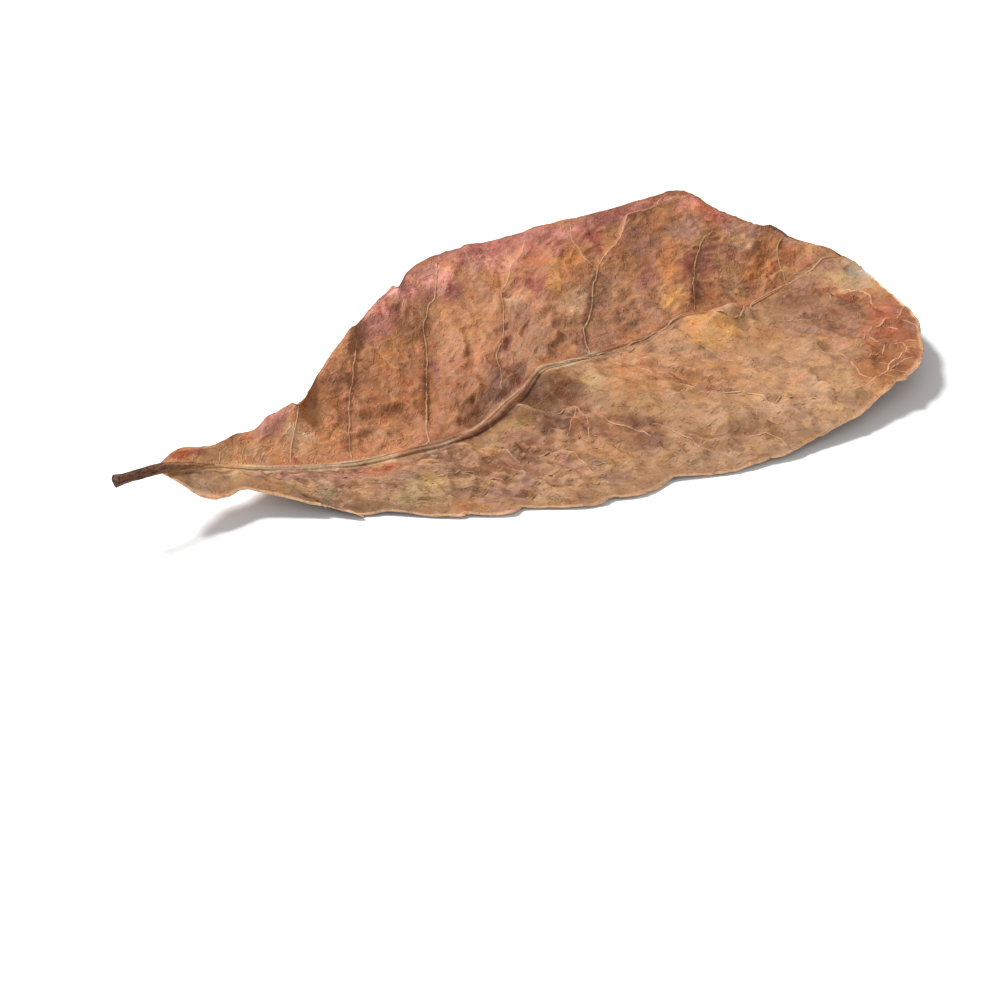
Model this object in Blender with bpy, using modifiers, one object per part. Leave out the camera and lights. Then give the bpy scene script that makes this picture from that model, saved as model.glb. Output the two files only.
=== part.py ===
"""Dried indian almond leaf, cupped and crinkled as it dried, lying on a surface.

The leaf lies along X, its stalk towards -X and its tip towards +X, with Z up. Its raised, far half is at +Y and its
low, near half at -Y. The origin is the flat spot under the midrib that the leaf rests on. Sizes are in millimetres
and are scaled to metres where the meshes are made.
"""

import math

import bmesh
import bpy
import numpy as np
from mathutils import Vector

MM = 0.001

# Midrib: X, then Y and height of the blade's underside below it
MIDRIB = (
    (-60, 9.2, 12.0),
    (-56, 9.6, 10.9),
    (-49, 9.6, 8.7),
    (-41, 8.1, 5.9),
    (-30, 6.1, 2.8),
    (-20, 4.2, 0.6),
    (-8, 1.9, -0.5),
    (2, 0.2, -0.6),
    (8, 0.0, -0.2),
    (14, 0.7, 0.9),
    (18, 1.3, 2.6),
    (23, 1.9, 4.2),
    (29, 4.0, 6.8),
    (36, 4.3, 6.2),
    (47, 4.4, 4.9),
    (59, 5.1, 4.2),
    (66, 5.8, 4.8),
    (72, 6.4, 5.2),
    (81, 7.2, 2.8),
    (91, 7.3, 0.0),
    (101, 9.0, -0.4),
    (107, 10.0, 0.8),
    (116, 10.4, 4.4),
    (126, 8.2, 5.2),
)

# Margins: X where the vein that ends there leaves the midrib, then X, Y and height of the edge's underside
FAR_MARGIN = (
    (-60, -60.0, 11.9, 12.4),
    (-56, -53.0, 14.8, 13.0),
    (-52, -49.0, 13.8, 12.5),
    (-46, -42.0, 14.0, 10.8),
    (-40, -34.0, 15.6, 9.5),
    (-36, -27.0, 19.4, 10.4),
    (-31, -20.0, 22.0, 11.0),
    (-28, -12.5, 27.0, 11.5),
    (-24, -3.0, 33.6, 12.5),
    (-19, 6.5, 39.0, 13.5),
    (-13, 18.5, 45.4, 14.5),
    (-8, 28.0, 50.0, 15.0),
    (-2, 38.0, 52.0, 15.0),
    (8, 50.0, 50.0, 15.2),
    (20, 63.0, 47.5, 16.0),
    (32, 77.0, 44.8, 16.5),
    (42, 92.0, 42.5, 17.0),
    (52, 101.5, 41.5, 16.5),
    (64, 106.0, 34.5, 13.0),
    (78, 110.0, 30.0, 11.0),
    (94, 113.5, 25.0, 9.5),
    (108, 117.0, 21.4, 8.0),
    (117, 120.5, 16.0, 7.0),
    (126, 125.2, 11.6, 6.0),
)
NEAR_MARGIN = (
    (-60, -59.2, 6.6, 11.8),
    (-58, -57.2, 5.4, 10.4),
    (-56, -55.0, 4.8, 8.2),
    (-53, -50.0, 3.2, 6.6),
    (-49, -43.4, 2.6, 5.4),
    (-46, -36.8, -2.4, 2.8),
    (-43, -30.0, -8.9, 1.0),
    (-38, -20.8, -14.6, 0.5),
    (-32, -12.4, -20.4, 0.3),
    (-25, -2.0, -26.4, 0.2),
    (-19, 7.5, -32.0, 0.2),
    (-10, 18.0, -36.0, 0.3),
    (1, 29.5, -36.8, 0.6),
    (13, 45.5, -42.2, 0.9),
    (23, 58.5, -46.2, 1.6),
    (37, 75.5, -46.8, 3.6),
    (52, 89.5, -44.8, 5.7),
    (58, 95.0, -43.6, 6.4),
    (70, 104.0, -39.2, 7.4),
    (79, 109.5, -33.8, 8.0),
    (96, 116.5, -20.0, 7.5),
    (113, 123.0, -3.0, 6.5),
    (126, 126.2, 4.2, 5.4),
)

# Where each secondary vein leaves the midrib
FAR_VEINS = (-46, -32, -18, -2, 18, 42, 76, 106, 116)
NEAR_VEINS = (-48, -36, -24, -12, 2, 20, 46, 72, 92, 112)

# Where the margin is notched between its lobes, and how far a lobe swells out there
FAR_NOTCHES = (-58, -46, -39, -30, -21, -10, 4, 22, 44, 66, 90, 110, 126)
NEAR_NOTCHES = (-60, -50, -45, -39, -32, -24, -11, 3, 18, 34, 54, 76, 100, 126)
LOBE = ((-60, 1.0), (-40, 1.3), (-10, 1.3), (20, 0.6), (126, 0.5))
LOBE_MIDDLE = 0.6  # the swelling that leaves the margin where its knots lie
LOBE_SPAN = 16  # on a narrower blade the lobes are smaller
LOBE_DROOP = 0.8  # how far a lobe hangs, as a share of its swelling

# Swellings and hollows of the dried blade: X, Y, height, reach in X and reach in Y
BULGES = (
    (78, -2.0, 3.4, 9.0, 5.0),
    (31, -4.5, -2.6, 9.0, 4.5),
    (2, -12.0, 1.6, 16.0, 6.0),
    (52, 24.0, 1.6, 10.0, 12.0),
    (16, 26.0, -1.5, 8.0, 10.0),
    (60, -20.0, -1.5, 22.0, 9.0),
    (92, 24.0, 1.2, 10.0, 8.0),
)

BLADE_THICKNESS = 0.7
CURL = 1.35  # above 1, the blade lies flatter at the midrib and turns up towards its margin
VEIN_HEADING = math.radians(56)  # between a secondary vein and the midrib that it leaves
STRAIGHT_SPAN = 14  # from here on inwards, a vein line gets straighter as the blade gets narrower
PLEAT_HEIGHT = 0.7  # how far the blade swells up between two secondary veins
PLEAT_SPAN = 30  # on a narrower blade it swells less

# Ribs on the upper side: X, half width, height above the blade
MIDRIB_SECTION = (
    (-60, 1.0, 0.8),
    (-50, 1.2, 1.4),
    (-30, 1.3, 1.5),
    (0, 1.6, 1.5),
    (20, 1.6, 1.3),
    (36, 0.9, 0.9),
    (80, 0.7, 0.6),
    (126, 0.4, 0.25),
)
VEIN_HEIGHT = 0.5
VEIN_TAPER = 0.7  # the share of its height that a vein loses on the way to the margin

# Stalk: X, Y, height of its middle and radius
STALK = (
    (-70.7, 8.9, 14.7, 1.55),
    (-69.6, 8.9, 14.6, 1.35),
    (-65.0, 8.9, 14.3, 1.25),
    (-60.0, 9.2, 13.6, 1.25),
    (-55.0, 9.6, 12.0, 1.15),
    (-49.0, 9.6, 9.9, 0.95),
    (-42.0, 8.3, 7.3, 0.7),
)

ROW_STEP = 2.0
COLUMNS_A_SIDE = 11
RIB_COLUMNS = (0.0, 0.6, 1.25)  # places across the midrib, in half widths of it


def through(knots, place):
    """A smooth curve through hand-placed knots, read at each place."""
    table = np.array(knots, float)
    places, values = table[:, 0], table[:, 1:]
    slopes = np.gradient(values, places, axis=0)
    k = np.clip(np.searchsorted(places, place, side="right") - 1, 0, len(places) - 2)
    width = (places[k + 1] - places[k])[..., None]
    u = (place - places[k])[..., None] / width
    start = (1 + 2 * u) * (1 - u) ** 2 * values[k] + u * (1 - u) ** 2 * width * slopes[k]
    end = u * u * (3 - 2 * u) * values[k + 1] - u * u * (1 - u) * width * slopes[k + 1]
    return start + end


def midway(root, side, far_places, near_places):
    """0 at each place on the blade's own side, rising to 1 midway to the next."""
    far = np.interp(root, far_places, range(len(far_places)))
    near = np.interp(root, near_places, range(len(near_places)))
    return np.abs(np.sin(np.pi * np.where(side > 0, far, near)))


def bulge_height(x, y):
    """The swellings and hollows together, each a smooth bell."""
    height = np.zeros_like(x)
    for middle_x, middle_y, top, reach_x, reach_y in BULGES:
        height += top * np.exp(-(((x - middle_x) / reach_x) ** 2) - ((y - middle_y) / reach_y) ** 2)
    return height


def ends(root, side):
    """The midrib's point and the margin's point of the vein line that leaves the midrib at root."""
    midrib = np.concatenate([root[..., None], through(MIDRIB, root)], axis=-1)
    margin = np.where(side[..., None] > 0, through(FAR_MARGIN, root), through(NEAR_MARGIN, root))
    return midrib, margin


def blade_underside(root, across):
    """The blade's underside. Across runs from the near margin, -1, over the midrib, 0, to the far margin, 1."""
    side = np.sign(across)
    share = np.abs(across)
    midrib, margin = ends(root, side)
    chord = margin - midrib
    span = np.linalg.norm(chord[..., :2], axis=-1)
    puff = midway(root, side, FAR_VEINS, NEAR_VEINS) ** 2
    lobe = midway(root, side, FAR_NOTCHES, NEAR_NOTCHES) * through(LOBE, root)[..., 0]
    out = share + (lobe - LOBE_MIDDLE) * share**4 / np.maximum(span, LOBE_SPAN)
    # A long vein leaves at its heading and then bends to its end on the margin, a short one runs straight
    turn = np.minimum(1, span / STRAIGHT_SPAN)
    bend = 2 * share * (1 - share)
    halfway_x = chord[..., 0] / 2 * (1 - turn) + span / 2 * math.cos(VEIN_HEADING) * turn
    halfway_y = chord[..., 1] / 2 * (1 - turn) + span / 2 * math.sin(VEIN_HEADING) * turn * side
    x = midrib[..., 0] + chord[..., 0] * out**2 + bend * halfway_x
    y = midrib[..., 1] + chord[..., 1] * out**2 + bend * halfway_y
    # The midrib is flat below, and the blade turns up beside it
    half_width = through(MIDRIB_SECTION, root)[..., 0]
    beside = np.clip((share * span - half_width) / np.maximum(span - half_width, 1), 0, 1)
    z = midrib[..., 2] + chord[..., 2] * beside**CURL
    z += PLEAT_HEIGHT * puff * np.sin(np.pi * beside) * np.minimum(1, span / PLEAT_SPAN)
    z -= LOBE_DROOP * lobe * share**8
    z += bulge_height(x, y)
    return np.stack([x, y, np.maximum(z, 0)], axis=-1)


def thickness(root, across):
    """Blade and rib together: the midrib and the secondary veins stand proud of the upper side."""
    section = through(MIDRIB_SECTION, root)
    half_width, height = section[..., 0], section[..., 1]
    midrib, margin = ends(root, np.sign(across))
    distance = np.abs(across) * np.linalg.norm((margin - midrib)[..., :2], axis=-1)
    midrib_rise = height * np.sqrt(np.clip(1 - (distance / half_width) ** 2, 0, 1))
    roots = np.where(across[..., None] > 0, nearest(FAR_VEINS, root), nearest(NEAR_VEINS, root))[..., 0]
    crest = VEIN_HEIGHT * (1 - VEIN_TAPER * np.abs(across)) * np.minimum(1, distance / half_width)
    vein_rise = crest * np.clip(1 - np.abs(root - roots) / ROW_STEP, 0, 1)
    return BLADE_THICKNESS + np.maximum(midrib_rise, vein_rise)


def nearest(veins, root):
    """The root of the vein nearest to each place along the midrib."""
    table = np.array(veins, float)
    return table[np.argmin(np.abs(root[..., None] - table), axis=-1)][..., None]


def columns(root, step):
    """How far across the blade each column lies: close together on the midrib, evenly spread beyond it.

    Step counts the columns outwards from the midrib, and is negative on the near side.
    """
    side = np.sign(step)
    count = np.abs(step)
    midrib, margin = ends(root, side)
    span = np.linalg.norm((margin - midrib)[..., :2], axis=-1)
    half_width = np.minimum(through(MIDRIB_SECTION, root)[..., 0], 0.4 * span)
    last = len(RIB_COLUMNS) - 1
    on_rib = np.interp(count, range(last + 1), RIB_COLUMNS) * half_width
    beyond = np.clip((count - last) / (COLUMNS_A_SIDE - last), 0, 1)
    return side * (on_rib + beyond * (span - RIB_COLUMNS[-1] * half_width)) / span


def new_object(name, mesh, collection):
    made = bpy.data.objects.new(name, mesh)
    collection.objects.link(made)
    return made


def blade(collection):
    """The blade: a flat grid laid on the leaf's surface, split into triangles and thickened upwards."""
    first, last = MIDRIB[0][0], MIDRIB[-1][0]
    rows = round((last - first) / ROW_STEP)
    sheet = bmesh.new()
    bmesh.ops.create_grid(sheet, x_segments=rows, y_segments=2 * COLUMNS_A_SIDE, size=1)
    flat = np.array([v.co for v in sheet.verts])
    root = first + (flat[:, 0] + 1) / 2 * (last - first)
    across = columns(root, flat[:, 1] * COLUMNS_A_SIDE)
    for vertex, place in zip(sheet.verts, blade_underside(root, across)):
        vertex.co = Vector(place) * MM
    bmesh.ops.triangulate(sheet, faces=sheet.faces, quad_method="SHORT_EDGE")
    mesh = bpy.data.meshes.new("leaf")
    sheet.to_mesh(mesh)
    sheet.free()
    made = new_object("leaf", mesh, collection)
    ribs = made.vertex_groups.new(name="thickness")
    thick = thickness(root, across)
    for index, share in enumerate(thick / thick.max()):
        ribs.add([index], float(share), "REPLACE")
    solid = made.modifiers.new("thickness", "SOLIDIFY")
    solid.thickness = float(thick.max()) * MM
    solid.offset = 1
    solid.vertex_group = ribs.name
    return made


def stalk(collection):
    """The stalk: a tapered tube that runs on into the midrib."""
    curve = bpy.data.curves.new("stalk", "CURVE")
    curve.dimensions = "3D"
    curve.bevel_depth = MM
    curve.bevel_resolution = 2
    curve.resolution_u = 3
    curve.use_fill_caps = True
    line = curve.splines.new("BEZIER")
    line.bezier_points.add(len(STALK) - 1)
    for point, (x, y, z, radius) in zip(line.bezier_points, STALK):
        point.co = Vector((x, y, z)) * MM
        point.radius = radius
        point.handle_left_type = point.handle_right_type = "AUTO"
    return as_mesh(new_object("stalk", curve, collection), collection)


def as_mesh(shape, collection):
    """A mesh in the place of a curve, with its caps welded on."""
    evaluated = shape.evaluated_get(bpy.context.evaluated_depsgraph_get())
    mesh = bpy.data.meshes.new_from_object(evaluated)
    welded = bmesh.new()
    welded.from_mesh(mesh)
    bmesh.ops.remove_doubles(welded, verts=welded.verts, dist=0.001 * MM)
    welded.to_mesh(mesh)
    welded.free()
    made = new_object(shape.name + "_tube", mesh, collection)
    made.matrix_world = shape.matrix_world
    bpy.data.objects.remove(shape)
    return made


def join(body, other):
    """A Boolean union that leaves other as a hidden helper."""
    union = body.modifiers.new("joined to " + other.name, "BOOLEAN")
    union.operation = "UNION"
    union.object = other
    other.hide_render = True
    other.display_type = "WIRE"


def dry_leaf_material():
    material = bpy.data.materials.new("dry_leaf")
    material.use_nodes = True
    shader = material.node_tree.nodes["Principled BSDF"]
    shader.inputs["Base Color"].default_value = (0.40, 0.22, 0.11, 1)
    shader.inputs["Roughness"].default_value = 0.72
    shader.inputs["Metallic"].default_value = 0
    return material


def new_collection(name):
    made = bpy.data.collections.new(name)
    bpy.context.scene.collection.children.link(made)
    return made


def main():
    for old in list(bpy.data.objects):
        bpy.data.objects.remove(old)
    parts = new_collection("indian_almond_leaf")
    helpers = new_collection("helpers")
    leaf = blade(parts)
    leaf.data.materials.append(dry_leaf_material())
    leaf.data.shade_smooth()
    join(leaf, stalk(helpers))


main()
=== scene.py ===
"""Looks of the dried indian almond leaf: a finer blade, its raised veins and its stalk, and a plain studio.

The leaf lies along X, its stalk towards -X and its tip towards +X, with Z up, as in the solid. Its raised,
far half is at +Y and its low, near half at -Y. Sizes are in millimetres and are scaled to metres where the
meshes are made. What is only drawn on the blade is placed by pixels of the photograph, as the camera sees it.

A place on the blade is given by its root, the X where its vein line leaves the midrib, and by across, which
runs from -1 at the near margin over 0 on the midrib to 1 at the far margin.
"""

import math

import bpy
import numpy as np
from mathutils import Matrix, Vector
from mathutils.bvhtree import BVHTree


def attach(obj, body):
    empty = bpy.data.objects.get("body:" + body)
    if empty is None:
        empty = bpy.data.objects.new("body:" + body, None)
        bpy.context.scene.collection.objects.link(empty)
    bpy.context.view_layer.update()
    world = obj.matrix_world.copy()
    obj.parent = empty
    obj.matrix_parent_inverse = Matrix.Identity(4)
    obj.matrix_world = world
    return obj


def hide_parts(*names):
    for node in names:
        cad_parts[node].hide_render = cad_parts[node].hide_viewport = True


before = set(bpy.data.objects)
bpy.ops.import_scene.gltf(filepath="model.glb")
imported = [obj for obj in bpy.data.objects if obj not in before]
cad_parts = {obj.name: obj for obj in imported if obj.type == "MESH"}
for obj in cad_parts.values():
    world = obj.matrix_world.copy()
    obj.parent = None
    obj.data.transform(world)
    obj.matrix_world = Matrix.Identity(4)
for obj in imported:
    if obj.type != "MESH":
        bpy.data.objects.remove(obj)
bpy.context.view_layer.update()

MM = 0.001

# Form, as in the solid
# Midrib: root, then Y and height of the blade's underside below it
MIDRIB = (
    (-60, 9.2, 12.0), (-56, 9.6, 10.9), (-49, 9.6, 8.7), (-41, 8.1, 5.9), (-30, 6.1, 2.8), (-20, 4.2, 0.6),
    (-8, 1.9, -0.5), (2, 0.2, -0.6), (8, 0.0, -0.2), (14, 0.7, 0.9), (18, 1.3, 2.6), (23, 1.9, 4.2),
    (29, 4.0, 6.8), (36, 4.3, 6.2), (47, 4.4, 4.9), (59, 5.1, 4.2), (66, 5.8, 4.8), (72, 6.4, 5.2),
    (81, 7.2, 2.8), (91, 7.3, 0.0), (101, 9.0, -0.4), (107, 10.0, 0.8), (116, 10.4, 4.4), (126, 8.2, 5.2),
)
# Margins: root, then X, Y and height of the edge's underside
FAR_MARGIN = (
    (-60, -60.0, 11.9, 12.4), (-56, -53.0, 14.8, 13.0), (-52, -49.0, 13.8, 12.5), (-46, -42.0, 14.0, 10.8),
    (-40, -34.0, 15.6, 9.5), (-36, -27.0, 19.4, 10.4), (-31, -20.0, 22.0, 11.0), (-28, -12.5, 27.0, 11.5),
    (-24, -3.0, 33.6, 12.5), (-19, 6.5, 39.0, 13.5), (-13, 18.5, 45.4, 14.5), (-8, 28.0, 50.0, 15.0),
    (-2, 38.0, 52.0, 15.0), (8, 50.0, 50.0, 15.2), (20, 63.0, 47.5, 16.0), (32, 77.0, 44.8, 16.5),
    (42, 92.0, 42.5, 17.0), (52, 101.5, 41.5, 16.5), (64, 106.0, 34.5, 13.0), (78, 110.0, 30.0, 11.0),
    (94, 113.5, 25.0, 9.5), (108, 117.0, 21.4, 8.0), (117, 120.5, 16.0, 7.0), (126, 125.2, 11.6, 6.0),
)
NEAR_MARGIN = (
    (-60, -59.2, 6.6, 11.8), (-58, -57.2, 5.4, 10.4), (-56, -55.0, 4.8, 8.2), (-53, -50.0, 3.2, 6.6),
    (-49, -43.4, 2.6, 5.4), (-46, -36.8, -2.4, 2.8), (-43, -30.0, -8.9, 1.0), (-38, -20.8, -14.6, 0.5),
    (-32, -12.4, -20.4, 0.3), (-25, -2.0, -26.4, 0.2), (-19, 7.5, -32.0, 0.2), (-10, 18.0, -36.0, 0.3),
    (1, 29.5, -36.8, 0.6), (13, 45.5, -42.2, 0.9), (23, 58.5, -46.2, 1.6), (37, 75.5, -46.8, 3.6),
    (52, 89.5, -44.8, 5.7), (58, 95.0, -43.6, 6.4), (70, 104.0, -39.2, 7.4), (79, 109.5, -33.8, 8.0),
    (96, 116.5, -20.0, 7.5), (113, 123.0, -3.0, 6.5), (126, 126.2, 4.2, 5.4),
)
# Roots of the secondary veins, and of the notches between the margin's lobes
FAR_VEINS = (-46, -32, -18, -2, 18, 42, 76, 106, 116)
NEAR_VEINS = (-48, -36, -24, -12, 2, 20, 46, 72, 92, 112)
FAR_NOTCHES = (-58, -46, -39, -30, -21, -10, 4, 22, 44, 66, 90, 110, 126)
NEAR_NOTCHES = (-60, -50, -45, -39, -32, -24, -11, 3, 18, 34, 54, 76, 100, 126)
LOBE = ((-60, 1.0), (-40, 1.3), (-10, 1.3), (20, 0.6), (126, 0.5))
LOBE_MIDDLE = 0.6
LOBE_SPAN = 16
LOBE_DROOP = 0.8
# Swellings and hollows: X and Y of the middle, height, and reach along X and Y
BULGES = (
    (78, -2.0, 3.4, 9.0, 5.0), (31, -4.5, -2.6, 9.0, 4.5), (2, -12.0, 1.6, 16.0, 6.0),
    (52, 24.0, 1.6, 10.0, 12.0), (16, 26.0, -1.5, 8.0, 10.0), (60, -20.0, -1.5, 22.0, 9.0),
    (92, 24.0, 1.2, 10.0, 8.0),
)
CURL = 1.35
VEIN_HEADING = math.radians(56)
STRAIGHT_SPAN = 14
PLEAT_HEIGHT = 0.7
PLEAT_SPAN = 30
# Midrib's ridge: root, half width and height
MIDRIB_SECTION = (
    (-60, 1.0, 0.8), (-50, 1.2, 1.4), (-30, 1.3, 1.5), (0, 1.6, 1.5), (20, 1.6, 1.3), (36, 0.9, 0.9),
    (80, 0.7, 0.6), (126, 0.4, 0.25),
)
# Stalk: X, then Y, height and radius
STALK = (
    (-70.7, 8.9, 14.7, 1.55), (-69.6, 8.9, 14.6, 1.35), (-65.0, 8.9, 14.3, 1.25), (-60.0, 9.2, 13.6, 1.25),
    (-55.0, 9.6, 12.0, 1.15), (-49.0, 9.6, 9.9, 0.95), (-42.0, 8.3, 7.3, 0.7),
)

# Finer form, of the looks alone
THICKNESS = 0.7
MARGIN_THICKNESS = 0.35
THINNEST = 0.3
THIN_SPAN = 3  # the blade gets thinner over this distance from its margin
LIFT = 0.5  # raises what lies on the floor, so that its hollows aren't pressed flat
LIFT_FADE = 2  # height above the floor over which the lift fades
ROWS = 381  # odd, as the underside has every second row
TOP_COLUMNS = 100  # on each side of the midrib
UNDER_COLUMNS = TOP_COLUMNS // 2
RIB_SHARE = 0.14  # the share of a side's columns that the midrib takes
HALVES_SPAN = 3  # the far half's look turns into the near half's over this distance, across the midrib

# Fine midrib: root, and its height in shares of the solid's
FINE_RIB = ((-60, 0.6), (-50, 0.45), (-5, 0.45), (8, 0.5), (22, 0.5), (32, 0.5), (126, 0.6))

# How far the two margins are moved at the blade's end, so that it is round: root, and millimetres to the
# right and away as the camera sees them
FAR_END = ((108, 0, 0), (114, 0, -0.45), (118, 0, -1.2), (122, 0, -2.5), (126, -0.7, -5.2))
NEAR_END = ((110, 0, 0), (114, 0.5, -0.6), (118, 0.0, -1.3), (122, -0.9, -1.9), (126, -2.9, -1.9))

# How far the fine margin is drawn in from the solid's: root and millimetres
FAR_INSET = (
    (-60, 0.2), (-50, -0.4), (-43, -2.6), (-37, 0.0), (-28, 1.4), (-16, 1.4), (0, 1.2), (35, 1.0),
    (70, 0.5), (90, 0.4), (102, -0.4), (112, 1.2), (126, 1.8),
)
NEAR_INSET = (
    (-60, -0.3), (-50, -1.0), (-48, -2.8), (-46, -2.6), (-45, -1.6), (-44.5, -1.0), (-44.2, -2.3),
    (-43.5, -2.1), (-42.8, -1.4), (-42, 0.0), (-41, 0.0), (-40, -0.3), (-39, -1.0), (-20, -1.1), (0, -1.4),
    (18, -1.1), (27, 0.1), (36, -0.5), (46, 0.0), (56, -0.5), (75, 0.2), (90, 0.4), (102, 1.0), (114, 1.6),
    (126, 2.2),
)

# Cusps and tears of the margin: side, pixel, root reached before it and after it, and millimetres outwards
CUSPS = (
    (1, 214, 447, 2.5, 2.5, -0.9), (1, 237, 436, 1.5, 1.5, 0.5), (1, 262, 418, 3.5, 3.0, 1.6),
    (1, 310, 395, 3.0, 2.2, -2.0), (1, 347, 329, 1.6, 1.6, 0.5), (1, 403, 282, 1.5, 1.7, -2.0),
    (-1, 190, 492, 1.5, 1.5, -0.8), (-1, 202, 499, 1.5, 3.0, 1.2), (-1, 245, 490, 1.2, 1.2, -0.5),
    (-1, 418, 518, 2.2, 2.4, 0.8), (-1, 898, 381, 1.5, 0.8, -0.3), (-1, 905, 385, 0.8, 3.0, 0.35),
)
CUSP_PLACES = []  # side, root, root reached before and after, and millimetres outwards; filled by find_cusps

# Noise is given by its height, its size along x and along y, its seed and, if not 3, its layers
NOISE_CELLS = 64  # after which the noise comes again
RAGGED_MARGIN = (0.22, 2.6, 1, 11)
TOOTHED_MARGIN = (0.10, 0.9, 1, 12)
RAGGED_SHIFT, TOOTHED_SHIFT = 7.5, 3.5  # part the noise of the two margins
WARP_X = (1.5, 6, 6, 37)
WARP_Y = (1.5, 6, 6, 39)
SLIDE_X = (1.5, 7, 7, 51)
SLIDE_Y = (1.2, 4, 4, 52)
SLANT = 0.35  # of the near half's wrinkles, to the photograph's horizontal
FAR_DENTS = (1.0, 10, 10, 31)
FAR_CREASES = (1.1, 5.5, 4.5, 35)
FAR_PUCKERS = (0.28, 2.1, 1.8, 43)
NEAR_DENTS = (0.5, 10, 10, 31)
NEAR_WRINKLES = (1.45, 11, 3.4, 53)
NEAR_RIPPLES = (0.7, 4.8, 1.9, 55)
BUSY = (0.8, 13, 13, 47)  # where there are more and fewer creases
BUSY_MIDDLE, BUSY_LEAST = 0.6, 0.15
MIDRIB_CLEARANCE = 4  # the relief rises over this distance from the midrib
CALM_SPAN, CALM_LEAST = 7, 0.25  # and it is lower near the margin
SMOOTH_CALM = 0.75
RIM_PUCKER_HEIGHT = 0.4
RIM_PUCKER_START = 0.6
RIM_PUCKER_SIZE = 0.9
VEIN_REACH = 11  # the blade drops across a line within this distance
VEIN_DROP, DROP_SOFTNESS, DROP_REACH = 1.2, 0.8, 5.5
VEIN_SWELL, VEIN_SWELL_REACH = 0.5, 0.9
FOLD_HEIGHT, FOLD_REACH = 1.3, 0.8
FOLD_DROP, FOLD_SOFTNESS, FOLD_DROP_REACH = 0.7, 0.6, 4.0
FOLD_ENDS = 0.15
VEIN_WAVER = 0.6
RIB_ROUNDNESS = 0.35  # a small power gives the midrib a flat top and steep sides
STREAK_HEIGHT, STREAK_SIZE, STREAK_LENGTH = 0.28, 0.45, 16
NEAR_VEIN_HEIGHT, FAR_VEIN_HEIGHT, VEIN_HALF_WIDTH = 0.26, 0.12, 0.55
MESH_ALONG, MESH_ACROSS, MESH_HEIGHT = 6.5, 4.2, 0.12  # of the net between the veins
# how far the painted shade and light beside the veins reach
VEIN_SHADE_REACH = 6
GRAIN_TURN = math.radians(30)

# Veins: half width, height, how far the blade drops across the line at its two ends, and the line in pixels.
# The drop is towards the photograph's right for a line that runs downwards, and upwards for one to the right.
FAR_LINES = (
    (0.13, 0.12, 0.0, 0.1, ((194, 451), (191, 464))),
    (0.13, 0.12, 0.1, 0.1, ((177, 455), (177, 465))),
    (0.15, 0.14, 0.1, 0.1, ((220, 449), (220, 463))),
    (0.15, 0.14, 0.2, 0.1, ((246, 446), (242, 460), (243, 467))),
    (0.13, 0.12, 0.1, 0.1, ((265, 450), (261, 465))),
    (0.20, 0.20, 0.1, 0.3, ((300, 405), (297, 420), (294, 437), (292, 447), (290, 465))),
    (0.22, 0.22, 0.3, 0.2, (
        (357, 340), (355, 362), (351, 387), (349, 415), (349, 439), (350, 451), (352, 461),
    )),
    (0.13, 0.12, 0.1, 0.1, ((344, 432), (349, 441))),
    (0.22, 0.24, 0.2, 0.5, (
        (437, 262), (436, 287), (434, 299), (429, 306), (426, 323), (424, 327), (426, 340), (427, 356),
        (427, 373), (426, 391),
    )),
    (0.32, 0.32, 0.5, 0.3, (
        (426, 391), (427, 401), (427, 422), (426, 437), (429, 445), (428, 450), (422, 454),
    )),
    (0.22, 0.24, -0.2, -0.5, (
        (526, 239), (524, 247), (519, 258), (512, 263), (509, 276), (505, 287), (500, 296),
    )),
    (0.20, 0.22, 0.5, 0.3, (
        (500, 296), (504, 310), (503, 333), (502, 350), (497, 360), (499, 367), (501, 381), (502, 394),
    )),
    (0.26, 0.30, -0.4, -0.7, (
        (660, 198), (657, 207), (643, 213), (629, 217), (625, 227), (617, 244), (608, 255), (598, 269),
    )),
    (0.26, 0.30, 0.3, 0.6, (
        (598, 269), (596, 277), (593, 295), (589, 318), (585, 329), (586, 343), (590, 353),
    )),
    (0.18, 0.20, 0.2, -0.2, ((570, 223), (574, 241), (582, 256), (591, 267), (597, 270))),
    (0.22, 0.25, 0.2, 0.7, (
        (713, 231), (704, 240), (700, 249), (696, 259), (694, 277), (694, 295), (695, 311),
    )),
    (0.24, 0.24, 0.2, 0.2, ((786, 233), (780, 242), (778, 252), (778, 264), (782, 274), (785, 284))),
    (0.16, 0.16, 0.1, 0.1, ((772, 252), (778, 255))),
    (0.15, 0.16, -0.5, -0.3, ((463, 250), (472, 268), (476, 278))),
    (0.15, 0.14, 0.2, 0.1, ((380, 354), (387, 362), (397, 372))),
)
NEAR_LINES = (
    (0.20, 0.22, -0.5, -0.3, (
        (517, 407), (529, 408), (542, 410), (546, 414), (556, 415), (569, 410), (576, 410), (587, 416),
        (602, 419), (612, 424), (623, 427), (635, 429), (652, 436),
    )),
    (0.14, 0.14, 0.3, 0.2, ((576, 410), (571, 426), (568, 440))),
    (0.14, 0.14, 0.2, 0.2, ((586, 417), (591, 442))),
    (0.22, 0.22, -0.4, -0.3, (
        (652, 427), (660, 427), (670, 431), (679, 437), (690, 442), (701, 448), (717, 452),
    )),
    (0.22, 0.24, -0.3, -0.5, (
        (614, 361), (622, 365), (634, 366), (648, 368), (656, 375), (667, 378), (679, 382), (690, 384),
        (698, 389), (708, 391), (721, 392), (740, 393), (755, 394), (766, 400), (776, 406), (785, 416),
    )),
)
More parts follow.
